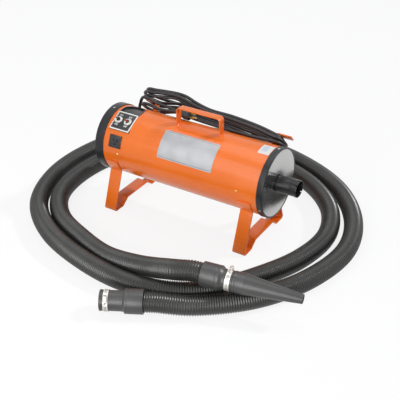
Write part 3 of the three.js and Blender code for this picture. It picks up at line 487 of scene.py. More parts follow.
# %% A smooth line through points
def smooth_line(points, spacing):
    """Evenly spaced points on a centripetal Catmull-Rom curve, and its length."""
    route = np.array([tuple(point) for point in points], float)
    route = np.vstack([2 * route[0] - route[1], route, 2 * route[-1] - route[-2]])
    steps = 40
    t = np.linspace(0, 1, steps, endpoint=False)[:, None]
    dense = []
    for a, b, c, d in zip(route, route[1:], route[2:], route[3:]):
        before, span, after = (max(np.linalg.norm(v - u) ** 0.5, 1e-6) for u, v in ((a, b), (b, c), (c, d)))
        leave = ((b - a) / before - (c - a) / (before + span) + (c - b) / span) * span
        arrive = ((c - b) / span - (d - b) / (span + after) + (d - c) / after) * span
        dense.append(b + leave * t + (3 * (c - b) - 2 * leave - arrive) * t**2
                     + (2 * (b - c) + leave + arrive) * t**3)
    dense = np.vstack([*dense, route[-2:-1]])
    along = np.concatenate([[0], np.cumsum(np.linalg.norm(np.diff(dense, axis=0), axis=1))])
    count = max(2, round(along[-1] / spacing))
    wanted = np.linspace(0, along[-1], count + 1)
    return np.stack([np.interp(wanted, along, dense[:, i]) for i in range(3)], axis=1), along[-1]


def tube_rings(line, radii, sides):
    """Rings round a line that don't twist as it bends."""
    ahead = np.gradient(line, axis=0)
    ahead /= np.linalg.norm(ahead, axis=1)[:, None]
    side = np.cross(ahead[0], (0, 0, 1.0))
    spins = np.linspace(0, 2 * pi, sides, endpoint=False)
    rings = []
    for here, forward, radius in zip(line, ahead, radii):
        side = side - forward * side.dot(forward)
        side /= np.linalg.norm(side)
        up = np.cross(side, forward)
        rings.append(here + radius * (np.cos(spins)[:, None] * side + np.sin(spins)[:, None] * up))
    return rings


# %% The ribbed hose
rib_pitch, rib_foot = 6.5, hose_radius - 2.8
rib = [rib_foot, hose_radius, hose_radius, rib_foot]
hose_line, hose_length = smooth_line(hose_points, rib_pitch / len(rib))
hose_radii = [rib[i % len(rib)] for i in range(len(hose_line))]
hose = piece("ribbed_hose", skinned(tube_rings(hose_line, hose_radii, 24)), hose_skin,
             at(0), stands_for="air_hose", crease=80)
print("hose length:", round(hose_length), "mm, ribs:", len(hose_line) // len(rib))

# %% [markdown]
# ## The mains cord
# The cord is wound on the two hooks: it starts at the plug, passes round the left hook,
# along the back, round the right hook and along the front, four times in all, and then
# slips out under the turns at the left end and goes round the barrel to the strain relief.
# At the right end the turns lie on each other in columns, two in front and three behind.
# At the left end they are heaped over the hook's tip, so the turns in front climb towards
# that end. One curve object with a round bevel carries the whole cord, so its length is
# real and it can't come apart.

# %% The cord's turns over the hooks
cord_radius = 5
right_fold, left_reach, hank_drop = 215, 41, 9.5
relief_place, relief_angle, relief_end = -150, 190, 36.3
front_places = (168, 80, 0, -56, -93, -127)
back_places = (-127, -56, 0, 80, 168)
first_height = 13
laps = [
    # left end's middle; radius coming in, behind and in front; heights behind, then in front
    (-201, (36, 30, 30), (22, 36, 32, 28, 20, 15, 12), (14, 22, 30, 34, 42.5, 51, 56, 42.5)),
    (-205, (36, 41, 41), (43.5, 55, 42.5, 36, 26, 20, 16), (20, 28, 35, 39, 48, 57.5, 61.5, 53)),
    (-207, (41, 30, 30), (54.5, 64.5, 55, 48, 40, 30, 22.5), (31, 39, 47, 49, 60, 70.5, 73, 64)),
    (-206, (37, 52, 41), (67.5, 67, 55, 46, 36, 22, 9), (4, 1.5, 2, 4, 8, 14, 19, 20)),
]


def folded(middle, radii, heights, turns, rise=1):
    """Points round one end of the hank, between two radii and two heights."""
    points = []
    for i, turn in enumerate(turns):
        share, spin = i / (len(turns) - 1), radians(turn)
        radius = radii[0] + (radii[1] - radii[0]) * share
        height = heights[0] + (heights[1] - heights[0]) * share**rise
        along, ahead = middle + radius * cos(spin), radius * sin(spin)
        points.append(over_hooks(along, ahead - hank_drop, height))
    return points


turns, coming_in = [], first_height
for left_fold, (before, behind, ahead), back, front in laps:
    turns += folded(left_fold, (before, left_reach), (coming_in, back[0]), range(90, 271, 18))
    turns += [over_hooks(x, -behind - hank_drop, height) for x, height in zip(back_places, back[1:-1])]
    turns += folded(right_fold, (behind, ahead), (back[-1], front[0]), range(-90, 91, 18), 2)
    turns += [over_hooks(x, ahead - hank_drop, height) for x, height in zip(front_places, front[1:-1])]
    coming_in = front[-1]
print("turns round the hooks:", len(laps), "and a part")

# %% The whole cord from plug to strain relief
tail = [over_hooks(*point) for point in (
    (-80, 51.5, 5), (-92.3, 51.5, 5), (-113.3, 46.65, 4), (-134.3, 42.8, 3), (-158, 38, 4),
    (-177, 32, 8))]
slip_out = [over_hooks(*point) for point in (
    (-165, 32, 22), (-180, 35, 24), (-194, 38, 27), (-210, 36, 30), (-226, 31, 31),
    (-237, 21, 31), (-246, 8, 27), (-253, -6, 20), (-258, -18, 12), (-262, -30, 8))]
lead = [(-260, 114, 33), (-252, 127, 16), (-238, 140, 2), (-217, 151, -10), (-194, 159, -19),
        (-172, 160, -25), (-157, 154, -27)]
cord_points = [*moved(in_hooks, tail + turns + slip_out), *moved(in_barrel, lead),
               *moved(in_barrel, [round_barrel(relief_place, barrel_radius + reach, relief_angle)
                                  for reach in (46, relief_end)])]
cord_line, cord_length = smooth_line(cord_points, 4)
print("cord length:", round(cord_length), "mm through", len(cord_points), "points")

# %% The cord as one curve
cord_curve = bpy.data.curves.new("mains_cord", "CURVE")
cord_curve.dimensions = "3D"
cord_curve.bevel_depth = cord_radius * mm
cord_curve.bevel_resolution = 3
cord_curve.use_fill_caps = True
strand = cord_curve.splines.new("POLY")
strand.points.add(len(cord_line) - 1)
with_weights = np.hstack([cord_line[::-1] * mm, np.ones((len(cord_line), 1))])
strand.points.foreach_set("co", with_weights.ravel())
strand.use_smooth = True
mains_cord = settle(placed("mains_cord", cord_curve), cord_jacket, "dryer",
                    ("power_cord_hank", "power_cord_tail", "power_cord_lead"))
print("cord spline points:", len(strand.points))

# %% [markdown]
# ### The plug
# A moulded three-pin plug is a bell of rubbery plastic with finger grips, two flat brass
# blades and a round earth pin. The bell is a turned shape; the grips are shallow rings in
# its profile, and the blades are bars with rounded edges.

# %% Plug body and blades
plug_length, plug_radius = 44, 15
in_plug = in_hooks @ at(*over_hooks(-38, 51.5, 5))
grips = [(-plug_length + 4 + 4 * i + (2 if deep else 0), 9.6 + 0.35 * i - (1.1 if deep else 0), 0.4)
         for i in range(4) for deep in (0, 1)]
plug_body = piece("plug_body", turned([
    (-plug_length, 0), (-plug_length, 7.6, 1.2), *grips, (-plug_length * 0.5, 12.2, 3),
    (-plug_length * 0.36, plug_radius, 3), (0, plug_radius, 1.4), (0, 0)], 48),
    plug_plastic, in_plug, stands_for="power_plug", crease=50)
plug_metal = [
    piece(f"plug_blade_{i + 1}", bar(-1, 18, 6.3, 1.5, 0.4), screw_brass,
          in_plug @ at(0, 0, side * 6.35))
    for i, side in enumerate((-1, 1))]
earth_pin = turned([(-1, 0), (-1, 2.4), (20, 2.4, 1.4), (20, 0)], 24)
plug_metal.append(piece("plug_earth_pin", earth_pin, screw_brass, in_plug @ at(0, 8)))
print("plug pieces:", plug_body.name, [p.name for p in plug_metal])

# %% [markdown]
# ### The strain relief
# Where the cord enters the barrel a rubber sleeve stops it kinking. It tapers, and rings
# cut round it let it flex a little at a time, so the profile steps in and out down its length.

# %% Ringed strain relief
in_relief = standing_out(relief_place, barrel_radius, relief_angle)
relief_rings = []
for i in range(6):
    x, radius = 8 + 4.2 * i, 8.4 - 0.34 * i
    relief_rings += [(x, radius, 0.4), (x + 2.4, radius - 0.1, 0.4), (x + 2.6, radius - 1.5, 0.3),
                     (x + 4.0, radius - 1.5, 0.3)]
piece("ringed_strain_relief", turned([
    (-4.8, 0), (-4.8, 10.4, 0.4), (-2.9, 10.4, 0.4), (-2.9, 8.5), (0.6, 8.5), (0.6, 11.5, 0.5),
    (3.1, 11.5, 0.8), (3.4, 8.6, 0.3), *relief_rings, (36, 6.2, 0.8), (36, 0)], 40),
    cord_jacket, in_relief, stands_for="strain_relief", crease=50)

# %% [markdown]
# ## The barrel
# The barrel is rolled 2 mm sheet. Blender could take a cylinder primitive, but a turned
# profile gives rolled edges at both ends in the same step. The console sits in a hole, so
# that hole is cut with a Boolean modifier whose cutter is the console's own outline, grown
# a little. A flattened weld bead runs along the underside, where such a seam is hidden.

# %% Rolled barrel
barrel_half, barrel_bore = 282.7, 99.6
barrel = piece("rolled_barrel", turned([
    (-barrel_half, barrel_bore, 0.4), (-barrel_half, barrel_radius, 0.6),
    (barrel_half, barrel_radius, 0.6), (barrel_half, barrel_bore, 0.4)], 192),
    orange_coat, stands_for="barrel_shell")


# %% A CAD part's own shape as a starting mesh
def refined(node, name, finish, ease):
    """A piece with a CAD part's shape and its edges rounded, which stands for that part."""
    mesh = nodes[node].data.copy()
    mesh.name = name
    work = bmesh.new()
    work.from_mesh(mesh)
    bmesh.ops.remove_doubles(work, verts=work.verts, dist=1e-6)
    bmesh.ops.dissolve_limit(work, angle_limit=radians(1.5), verts=work.verts, edges=work.edges)
    bmesh.ops.recalc_face_normals(work, faces=work.faces)
    sharp = [e for e in work.edges if len(e.link_faces) == 2 and e.calc_face_angle(0) > radians(35)]
    bmesh.ops.bevel(work, geom=sharp, offset=ease * mm, segments=2, profile=0.5, affect="EDGES",
                    clamp_overlap=True)
    work.to_mesh(mesh)
    work.free()
    soften(mesh, 32)
    return settle(placed(name, mesh), finish, stands_for=node)


# %% Cutting one piece with another
def worked_out(obj):
    """The mesh of an object once Blender has applied its modifiers or drawn its letters."""
    bpy.context.view_layer.update()
    return bpy.data.meshes.new_from_object(obj.evaluated_get(bpy.context.evaluated_depsgraph_get()))


def cut_away(obj, cutter_shape, place, crease=32):
    """Cuts a shape out of a piece with a Boolean modifier, and keeps the result."""
    cutter = placed("cutter", mesh_of("cutter", cutter_shape, place, 180))
    step = obj.modifiers.new("cut", "BOOLEAN")
    step.operation = "DIFFERENCE"
    step.solver = "EXACT"
    step.object = cutter
    result = worked_out(obj)
    obj.modifiers.clear()
    obj.data = result
    bpy.data.objects.remove(cutter)
    soften(result, crease)


# %% The hole for the console
console_middle, console_half, arch_rise = -211, 35.5, 34
console_facing, console_front, console_back = 76, 40.5, 111


def console_arch(out):
    """The console's outline at a distance out from the barrel's axis, grown by the gap."""
    half = console_half + fit_gap
    back = barrel_radius * sin(radians(console_back - console_facing)) + fit_gap
    front = -out * tan(radians(console_facing - console_front)) - fit_gap
    steps = 40
    spins = [pi * i / steps for i in range(steps + 1)]
    arch = [(half * cos(t), back - arch_rise + arch_rise * sin(t), out) for t in spins]
    return [(-half, front, out), (half, front, out), *arch]


in_console_view = in_barrel @ at(console_middle) @ tilted(90 - console_facing)
cut_away(barrel, skinned([console_arch(out) for out in (60, 130)]), in_console_view)
print("barrel faces after the cut:", len(barrel.data.polygons))

# %% Weld bead under the barrel
seam_half, seam_turn = 280, 62
seam_path = [(x, -barrel_radius + 0.1 + 0.12 * sin(x / 1.7))
             for x in range(-seam_half, seam_half + 1, 2)]
piece("barrel_weld_seam", strap(seam_path, 4.5, 0.9, 0.4), orange_coat, in_barrel @ tilted(seam_turn))
print("weld seam length:", 2 * seam_half)

# %% [markdown]
# ## End caps and spout
# Each cap is a pressed lid with a soft outer corner. The outlet cap's face is bright and
# mirrors the white floor and the dark hose round it. It carries the spout, which is held by
# a flange from behind. The spout's bead has small notches so that a hose cuff can't turn
# on it.

# %% Pressed end caps
cap_end, cap_inside = 286, 283
cap_radius, cap_bore = 104, barrel_radius + fit_gap
spout_radius, spout_bore = 24.8, 22.6
piece("pressed_intake_cap", turned([
    (-cap_inside, 74, 0.4), (-cap_inside, cap_bore, 0.8), (-256, cap_bore, 0.4), (-256, cap_radius, 0.8),
    (-cap_end, cap_radius, 2.6), (-cap_end, 97, 0.8), (-285.2, 95.5, 0.8), (-285.2, 78, 0.5),
    (-cap_end, 76.5, 0.5), (-cap_end, 74, 0.5)], 160), cap_coat, stands_for="intake_end_cap")
piece("pressed_outlet_rim", turned([
    (cap_inside, 96.8, 0.4), (cap_inside, cap_bore, 0.8), (267, cap_bore, 0.4), (267, cap_radius, 0.8),
    (cap_end, cap_radius, 2.2), (cap_end, 99.6, 0.8), (284.6, 99.2, 0.4), (284.6, 96.8, 0.3)], 160),
    cap_coat, stands_for="outlet_end_cap")
face_bore = spout_radius + fit_gap
piece("pressed_outlet_face", turned([
    (283.2, face_bore, 0.3), (283.2, 99, 0.3), (285.3, 99, 0.5), (285.3, face_bore, 0.4)], 160), face_coat)
print("caps:", 2 * cap_radius, "mm across,", 2 * cap_end, "mm from end to end")

# %% Spout with a notched bead
spout = piece("notched_spout", turned([
    (279.7, spout_bore, 0.3), (279.7, 37, 0.6), (282.7, 37, 0.6), (282.7, spout_radius, 0.4),
    (286.2, spout_radius, 0.6), (287.4, 26.4, 0.7), (290.6, 26.4, 0.7), (291.8, spout_radius, 0.6),
    (326, spout_radius, 0.4), (326, 23.9, 0.3), (328.5, 23.9, 0.3), (328.5, spout_radius, 0.3),
    (343.4, spout_radius, 0.6), (344.2, 25.4, 0.5), (349.2, 25.4, 0.6), (350, 24.6, 0.5),
    (350, spout_bore, 0.6)]), spout_plastic, stands_for="outlet_spout")
for notch_angle in range(0, 180, 45):
    cut_away(spout, bar(345, 357, 2.4, 60, 0.1), in_barrel @ tilted(notch_angle))
print("spout faces:", len(spout.data.polygons))

# %% [markdown]
# ## Legs, handle and hooks
# These are all flat steel bar bent on a brake, so they share one idea: draw the bend line
# from the side, round its corners, and sweep a bar with rounded edges along it. The bars
# are welded to the barrel. At the handle and the hooks a small painted fillet shows where
# the weld runs.

# %% Strap legs
leg_x, leg_thick, leg_bend, foot_level = 228, 4, 7, -194
leg_radius = barrel_radius * 1.0226  # the middle of the bar, which clears the skin by a hair
leg_half = [(-leg_radius * cos(a), leg_radius * sin(a))
            for a in np.radians(np.linspace(-16, -41.6, 9))]
leg_half[-1] += (leg_bend,)
leg_half += [(-123, foot_level, leg_bend), (-80, foot_level, leg_bend), (-54, -174.5, leg_bend)]
leg_line = eased([*leg_half, *[(-c[0], *c[1:]) for c in reversed(leg_half)]], step=10)
for side, x in (("left", -leg_x), ("right", leg_x)):
    piece(f"strap_leg_{side}", strap(leg_line, 41, leg_thick, 1.1), orange_coat,
          in_barrel @ at(x) @ swung(90), stands_for=f"leg_{side}")
print("leg bend line:", len(leg_line), "points")

# %% Carry handle
handle_x, handle_half, handle_thick = 24, 72, 3
handle_foot, handle_top = barrel_radius - 0.6, barrel_radius + 54.4 - handle_thick / 2
handle_ends = handle_x - handle_half, handle_x + handle_half
handle_line = eased([(handle_ends[0], handle_foot), (handle_ends[0], handle_top, 9),
                     (handle_ends[1], handle_top, 9), (handle_ends[1], handle_foot)], step=9)
piece("bent_carry_handle", strap(handle_line, 25, handle_thick, 1.0), orange_coat,
      stands_for="carry_handle")


# %% Welds round the feet of the bars
def on_top(x, y):
    """A point on the barrel's skin, above a place in its plan."""
    return Vector((x, y, sqrt(barrel_radius**2 - y**2) + 0.1))


def weld_round(name, first, last, thick, place=in_barrel):
    """A painted fillet: a thin bead round the foot of a bar, between two places along X."""
    corners = [on_top(first, y) for y in range(-12, 13, 4)] + [on_top(last, y) for y in range(12, -13, -4)]
    line = smooth_line([*corners, corners[0]], 1.2)[0]
    ripple = [thick * (1 + 0.12 * sin(i * 1.9)) for i in range(len(line))]
    piece(name, skinned(tube_rings(line, ripple, 8)), orange_coat, place, crease=80)


for i, x in enumerate(handle_ends):
    weld_round(f"handle_weld_{i + 1}", x + 1.6, x - 1.6, 1.3)
print("handle length:", 2 * handle_half + handle_thick)

# %% Cord hooks
hook_thick = 4
hook_low = barrel_radius + fit_gap + hook_thick / 2
hook_high = barrel_radius + 38 - hook_thick / 2
for side, x, way in (("left", -190, -1), ("right", 225, 1)):
    hook_line = eased([(x - way * 24, hook_low), (x, hook_low, 6), (x, hook_high, 6),
                       (x + way * 47, hook_high)], step=9)
    piece(f"strap_hook_{side}", strap(hook_line, 25, hook_thick, 1.1), orange_coat, in_hooks,
          stands_for=f"cord_hook_{side}")
    weld_round(f"hook_weld_{side}", x - way * 24.5, x - way * 3, 1.2, in_hooks)
print("hooks and their welds made")

# %% [markdown]
# ## Console
# The console is a moulded box let into the barrel, with a flat front for the switch plate
# and a shallow well above it. Its CAD solid already has that shape, so its mesh is taken
# over and only its edges are rounded: a bevel on every edge sharper than 35 degrees.

# %% Console box and its front face
refined("console_box", "moulded_console", switch_plastic, 0.5)
console_low = round_barrel(0, barrel_radius + 4, console_front)
console_ridge = round_barrel(0, barrel_radius + 1.2, 77.5)
face_span = console_ridge - console_low
face_height = face_span.length
face_tilt = degrees(atan2(face_span.z, face_span.y))
in_face = in_barrel @ at(console_middle) @ at(*(console_low + console_ridge) / 2) @ tilted(face_tilt)
print("console face:", round(face_height, 1), "mm tall, tilted", round(face_tilt, 1))


# %% Flat plates on the console's face
def slab(width, height, low, high, corner, ease=0.3):
    """A flat plate with rounded corners and a softened top edge."""
    outline = rounded_box(-width / 2, -height / 2, width / 2, height / 2, corner, 22)
    rings = []
    for level, inset in ((low, 0), (high - ease, 0), (high - ease * 0.3, ease * 0.3), (high, ease)):
        rings.append([(x * (1 - 2 * inset / width), y * (1 - 2 * inset / height), level)
                      for x, y in outline])
    return skinned(rings)


plate_width, plate_height, field_level = 69.8, face_height - 1.2, 2.42
piece("white_switch_plate", slab(plate_width, plate_height, 0.3, 2.3, 2.0), white_enamel, in_face,
      stands_for="switch_plate")
piece("dark_switch_field", slab(62.4, face_height - 9, 2.1, field_level, 1.2, 0.1), switch_plastic, in_face)
print("switch plate:", plate_width, "by", round(plate_height, 1))

# %% Toggle switches
switch_rise, word_rise = 2, 17.5
switch_x = {"left": -19, "right": 14}
bush_rim, bush_bore, pivot_level, lever_lean = 8.1, 4.6, 1.1, 13


def hex_nut(low, high, across, bore):
    """A six-sided nut: rings of 24 points, where every fourth is on a corner."""
    spins = [i * pi / 12 for i in range(24)]
    sides = [across / 2 / cos((i % 4 - 2) * pi / 12) for i in range(24)]
    hole, bevelled = [bore] * 24, [0.93 * radius for radius in sides]
    levels = ((low, hole), (low, sides), (high - 0.4, sides), (high, bevelled), (high, hole))
    return skinned([[(r * cos(t), r * sin(t), z) for r, t in zip(radii, spins)]
                    for z, radii in levels], looped=True)


for side, x in switch_x.items():
    place = in_face @ at(x, switch_rise)
    piece(f"switch_washer_{side}", upright([
        (2.5, 6.2, 0.1), (2.5, 12, 0.2), (3.5, 12, 0.4), (3.5, 9.4, 0.2), (3.2, 9.0, 0.2),
        (3.2, 6.2, 0.1)], 48), white_enamel, place, stands_for=f"switch_ring_{side}")
    piece(f"switch_nut_{side}", hex_nut(3.3, 5.6, 15.4, 6.2), clamp_steel, place)
    thread = [ridge for i in range(4) for ridge in ((3.6 + i, 5.9, 0.1), (4.1 + i, 5.4, 0.1))]
    piece(f"switch_bush_{side}", upright([
        (-1.8, bush_bore), (-1.8, 5.8), *thread, (7.6, 5.9, 0.2), (bush_rim, 5.5, 0.2),
        (bush_rim, bush_bore, 0.2)], 32), clamp_steel, place)
    refined(f"switch_body_{side}", f"switch_case_{side}", switch_plastic, 0.4)
    lever_place = place @ at(0, 0, pivot_level) @ tilted(lever_lean)
    piece(f"toggle_lever_{side}", upright([
        (-3.4, 0), (-2.6, 2.4, 0.8), (0, 3.4, 1.5), (2.6, 2.4, 0.8), (5, 2.0, 1.5), (13, 2.7, 3),
        (17.4, 3.0, 1.5), (19, 1.6, 1.0), (19, 0)], 28),
        lever_red if side == "right" else switch_plastic, lever_place, f"{side}_lever",
        stands_for=f"switch_lever_{side}", crease=60)
print("switches:", list(switch_x))


# %% Words on the switch plate
def printed(name, text, size, finish, place):
    """Flat lettering, raised a tenth of a millimetre like screen print."""
    words = bpy.data.curves.new(name, "FONT")
    words.body = text
    words.size = size * mm
    words.extrude = 0.06 * mm
    words.offset = 0.2 * mm
    words.align_x = "CENTER"
    words.align_y = "CENTER"
    drawn = placed(name, words)
    mesh = worked_out(drawn)
    bpy.data.objects.remove(drawn)
    turn = place.copy()
    turn.translation = turn.translation * mm
    mesh.transform(turn)
    settle(placed(name, mesh), finish)


for side, x in switch_x.items():
    for word, rise in (("ON", word_rise), ("OFF", -word_rise)):
        printed(f"word_{word.lower()}_{side}", word, 7.5, white_enamel,
                in_face @ at(x, switch_rise + rise, field_level + 0.04))
print("switch lettering placed")

# %% [markdown]
# ## Socket, name plate and label
# The three-pin socket is a moulded insert, taken over from its CAD solid with rounded
# edges. The name plate is thin foil glued round the barrel and the label is film: both are
# sheets that follow the barrel's curve, so each is a stack of columns from one end to the
# other, and the columns near an end are shorter, which rounds the corners. Both are bare.

# %% The socket in its hole
socket_middle, socket_facing = -214, 21.5
in_socket = standing_out(socket_middle, barrel_radius, socket_facing)
cut_away(barrel, bar(-30, 8, 34.6, 30.6, 0.5), in_socket)
refined("outlet_socket", "moulded_socket", switch_plastic, 0.4)
print("barrel faces after the socket's cut:", len(barrel.data.polygons))


# %% Sheets that follow the barrel
def wrapped(middle, length, low, high, lift, thickness, corner):
    """A thin sheet on the barrel, between two angles, with rounded corners."""
    steps = 6
    ends = [corner * (1 - cos(pi / 2 * i / steps)) for i in range(steps + 1)]
    xs = [*ends, *np.linspace(corner, length - corner, 12)[1:-1], *[length - e for e in reversed(ends)]]
    rings = []
    for x in xs:
        near = max(corner - min(x, length - x), 0)
        inset = degrees((corner - sqrt(max(corner**2 - near**2, 0))) / barrel_radius)
        angles = np.linspace(low + inset, high - inset, 25)
        start, skin = middle - length / 2 + x, barrel_radius + lift
        rings.append([round_barrel(start, skin + thickness, a) for a in angles]
                     + [round_barrel(start, skin, a) for a in reversed(angles)])
    return skinned(rings)


def line_round(middle, length, low, high, lift, thick, corner=3):
    """A thin raised line that frames a sheet on the barrel."""
    reach = radians(high - low) * barrel_radius
    outline = rounded_box(0, 0, length, reach, corner, 30)
    points = [round_barrel(middle - length / 2 + x, barrel_radius + lift,
                           low + degrees(up / barrel_radius)) for x, up in outline]
    line = smooth_line([*points, points[0]], 2.5)[0]
    return skinned(tube_rings(line, [thick] * len(line), 6))


foil_middle, foil_length, foil_low, foil_high = 28, 183, 17, 66
foil_thick, label_thick = 0.8, 0.5
foil = wrapped(foil_middle, foil_length, foil_low, foil_high, fit_gap, foil_thick, 4)
piece("foil_name_plate", foil, plate_foil, stands_for="name_plate")
border = line_round(foil_middle, foil_length - 9, foil_low + 2.6, foil_high - 2.6, 1.05, 0.4)
piece("name_plate_border", border, switch_plastic, crease=80)
piece("film_label", wrapped(247, 35, 72, 97, fit_gap, label_thick, 2), label_film,
      stands_for="blank_label")
piece("label_blue_patch", wrapped(244, 16, 78, 91, fit_gap + label_thick, 0.08, 0.6), label_blue)
foil_height = radians(foil_high - foil_low) * barrel_radius
print("name plate:", foil_length, "by", round(foil_height, 1), "mm flat")

# %% [markdown]
# ## Screws
# The caps and motor plates are held by pan-head screws with a cross recess. Each is turned
# with a domed head, and two thin bars cut the cross. The side screws are brass.


# %% Pan-head screws
shank_radius, head_radius = 2, 3.8
screw_profile = [(-7, 0), (-7, shank_radius, 0.4), (0.3, shank_radius), (0.3, head_radius, 0.3),
                 (1.1, head_radius, 0.7), (2.2, 2.2, 1.2), (2.4, 0)]


def pan_screw(name, finish, place, stands_for, turn):
    """A screw with a cross recess, turned by its own angle."""
    screw = piece(name, turned(screw_profile, 32), finish, place, stands_for=stands_for)
    for spin in (turn, turn + 90):
        cut_away(screw, bar(1.1, 3.5, 0.8, 4.2, 0.1), place @ tilted(spin), 40)


for i in range(3):
    pan_screw(f"intake_rim_screw_{i + 1}", bright_steel, standing_out(-271, cap_radius, -39 + 120 * i),
              f"intake_cap_screw_{i + 1}", 20 + 35 * i)
    pan_screw(f"outlet_rim_screw_{i + 1}", bright_steel, standing_out(276.5, cap_radius, -26 + 120 * i),
              f"outlet_cap_screw_{i + 1}", 5 + 50 * i)
for end, x in (("intake", -204), ("outlet", 204)):
    for i, angle in enumerate((0, 180)):
        pan_screw(f"{end}_brass_screw_{i + 1}", screw_brass, standing_out(x, barrel_radius, angle),
                  f"{end}_side_screw_{i + 1}", 12 + 40 * i)
print("screws: 6 steel, 4 brass")

# %% [markdown]
# ## Cuffs, clamps and nozzle
# The hose ends in two moulded cuffs. A worm-drive clamp sits on each neck: a steel band
# with slots, a folded housing and a screw with a hexagon head, which really turns in this
# model, so the screw rides on its own body. The nozzle is a long cone with a collar.

# %% Cuffs and nozzle
in_coupling = aimed(coupling_start, coupling_ahead)
in_nozzle = aimed(nozzle_start, nozzle_ahead)
sleeve_radius, sleeve_bore = 33.5, hose_radius + fit_gap
neck_radius, neck_bore = 27.4, 25.7
collar_radius, nozzle_bore = 28.8, 23.2


def groove(x, radius, before, after):
    """A shallow groove in a profile, with the ease of its two outer corners."""
    return [(x, radius, before), (x + 0.6, radius - 0.5, 0.3), (x + 2, radius - 0.5, 0.3),
            (x + 2.6, radius, after)]


piece("moulded_coupling_cuff", turned([
    (0, neck_bore, 0.5), (0, 28.2, 1.0), (5, 28.2, 0.6), (5, neck_radius, 0.4), (57, neck_radius, 0.4),
    (57.5, 27.9, 0.3), (60, 27.9, 0.4), (62.5, 28.2, 1), (67, sleeve_radius, 2),
    *groove(72, sleeve_radius, 0.5, 0.4), (115, sleeve_radius, 1.2), (115, sleeve_bore, 0.5),
    (110, 28.6), (110, neck_bore)]), cuff_plastic, in_coupling, stands_for="coupling_cuff")
nozzle_cuff = piece("moulded_nozzle_cuff", turned([
    (0.3, sleeve_bore, 0.4), (0.3, sleeve_radius, 1.2), *groove(40, sleeve_radius, 0.4, 0.4),
    (51, sleeve_radius, 2.5), (58, neck_radius, 2), (86, neck_radius, 0.6), (86, neck_bore, 0.4),
    (5, neck_bore), (5, 28.6)]), cuff_plastic, in_nozzle, stands_for="nozzle_cuff")
piece("moulded_air_nozzle", turned([
    (62.3, nozzle_bore, 0.4), (62.3, 25.4, 0.6), (86.3, 25.4, 0.2), (86.3, collar_radius, 0.9),
    *groove(92, collar_radius, 0.3, 0.3), (117, collar_radius, 2.5), (121.5, 28.0, 3), (264, 13.3, 2),
    (265.5, 13.3, 0.6), (270.3, 12.8, 0.8), (270.3, 10.4, 0.4), (120.3, nozzle_bore, 3)]),
    cuff_plastic, in_nozzle, stands_for="air_nozzle")
print("cuffs:", 2 * sleeve_radius, "mm across")


# %% Worm-drive clamps
def together(shapes):
    """Several shapes as one."""
    points, faces = [], []
    for more_points, more_faces in shapes:
        start = len(points)
        points += more_points
        faces += [tuple(start + i for i in face) for face in more_faces]
    return points, faces


band_bore, band_skin, band_rim = neck_radius + fit_gap, 28.7, 28.9


def worm_clamp(end, x, turn, place):
    """Band with slots shown as dark pads of painted shade over the black neck, folded housing, and the
    screw on its own body.
    """
    spun = place @ at(x) @ tilted(turn)
    band = piece(f"{end}_clamp_band_ring", turned([
        (-6.5, band_bore, 0.3), (-6.5, band_rim, 0.4), (-5.2, band_rim, 0.3), (-4.9, band_skin, 0.2),
        (4.9, band_skin, 0.2), (5.2, band_rim, 0.3), (6.5, band_rim, 0.4), (6.5, band_bore, 0.3)]),
        clamp_steel, spun, stands_for=f"{end}_clamp_band")
    # The slots are not cut through: each is a small dark pad on the band, which stands for the black neck
    # seen through a slot together with the shade inside it, painted in.
    points, faces = slab(8.0, 1.1, -0.3, 0.05, 0.5, 0.05)
    slots = [(moved(tilted(angle) @ at(0, 0, band_skin) @ swung(8), points), faces)
             for angle in range(42, 319, 6)]
    piece(f"{end}_clamp_slot_shade_pads", together(slots), switch_plastic, spun)
    half, low, middle, high = 5.5, 28.3, 33, 37.5
    section = eased([(-half, low, 0.5), (half, low, 0.5), (half, high, 3.6), (-half, high, 3.6)], True, 18)
    rings = [[(across * (1 - inset / half), y, middle + (up - middle) * (1 - inset / 4.6))
              for across, up in section] for y, inset in ((-8.5, 0.5), (-8, 0), (8, 0), (8.5, 0.5))]
    housing = piece(f"{end}_clamp_housing", skinned(rings), clamp_steel, spun)
    worm_place = spun @ at(0, 0, 33.2) @ swung(90)
    cut_away(housing, turned([(-20, 0), (-20, 3.15), (20, 3.15), (20, 0)], 24), worm_place)
    crest, root, head_start = 2.9, 2.2, 8.8
    thread = [ridge for i in range(9) for ridge in (
        (-11.6 + 2 * i, crest, 0.2), (-11.0 + 2 * i, root, 0.2), (-10.2 + 2 * i, root, 0.2))]
    shank = turned([(-12.2, 0), (-12.2, root, 0.3), *thread, (head_start, crest), (head_start, 0)], 24)
    points, faces = hex_nut(head_start, 13.3, 7.0, 0.01)
    head = ([(z, y, -x) for x, y, z in points], faces)
    screw = piece(f"{end}_clamp_worm", together([shank, head]), bright_steel, worm_place, f"{end}_screw",
                  stands_for=f"{end}_clamp_screw")
    cut_away(screw, bar(12.2, 15, 9, 1.0, 0.1), worm_place)
    return [band, housing]


coupling_clamp = worm_clamp("coupling", 17.5, 50, in_coupling)
nozzle_clamp = worm_clamp("nozzle", 74, -12, in_nozzle)
print("clamps made:", [p.name for p in coupling_clamp + nozzle_clamp])

# %% [markdown]
# ## The intake end and the motor units
# Behind the intake cap a slotted grille guards a disc of foam. The grille is the CAD part
# with rounded slots, and the foam is turned with a soft rim. The motor units further in
# are hardly seen, so they keep their CAD meshes and get a metal finish.

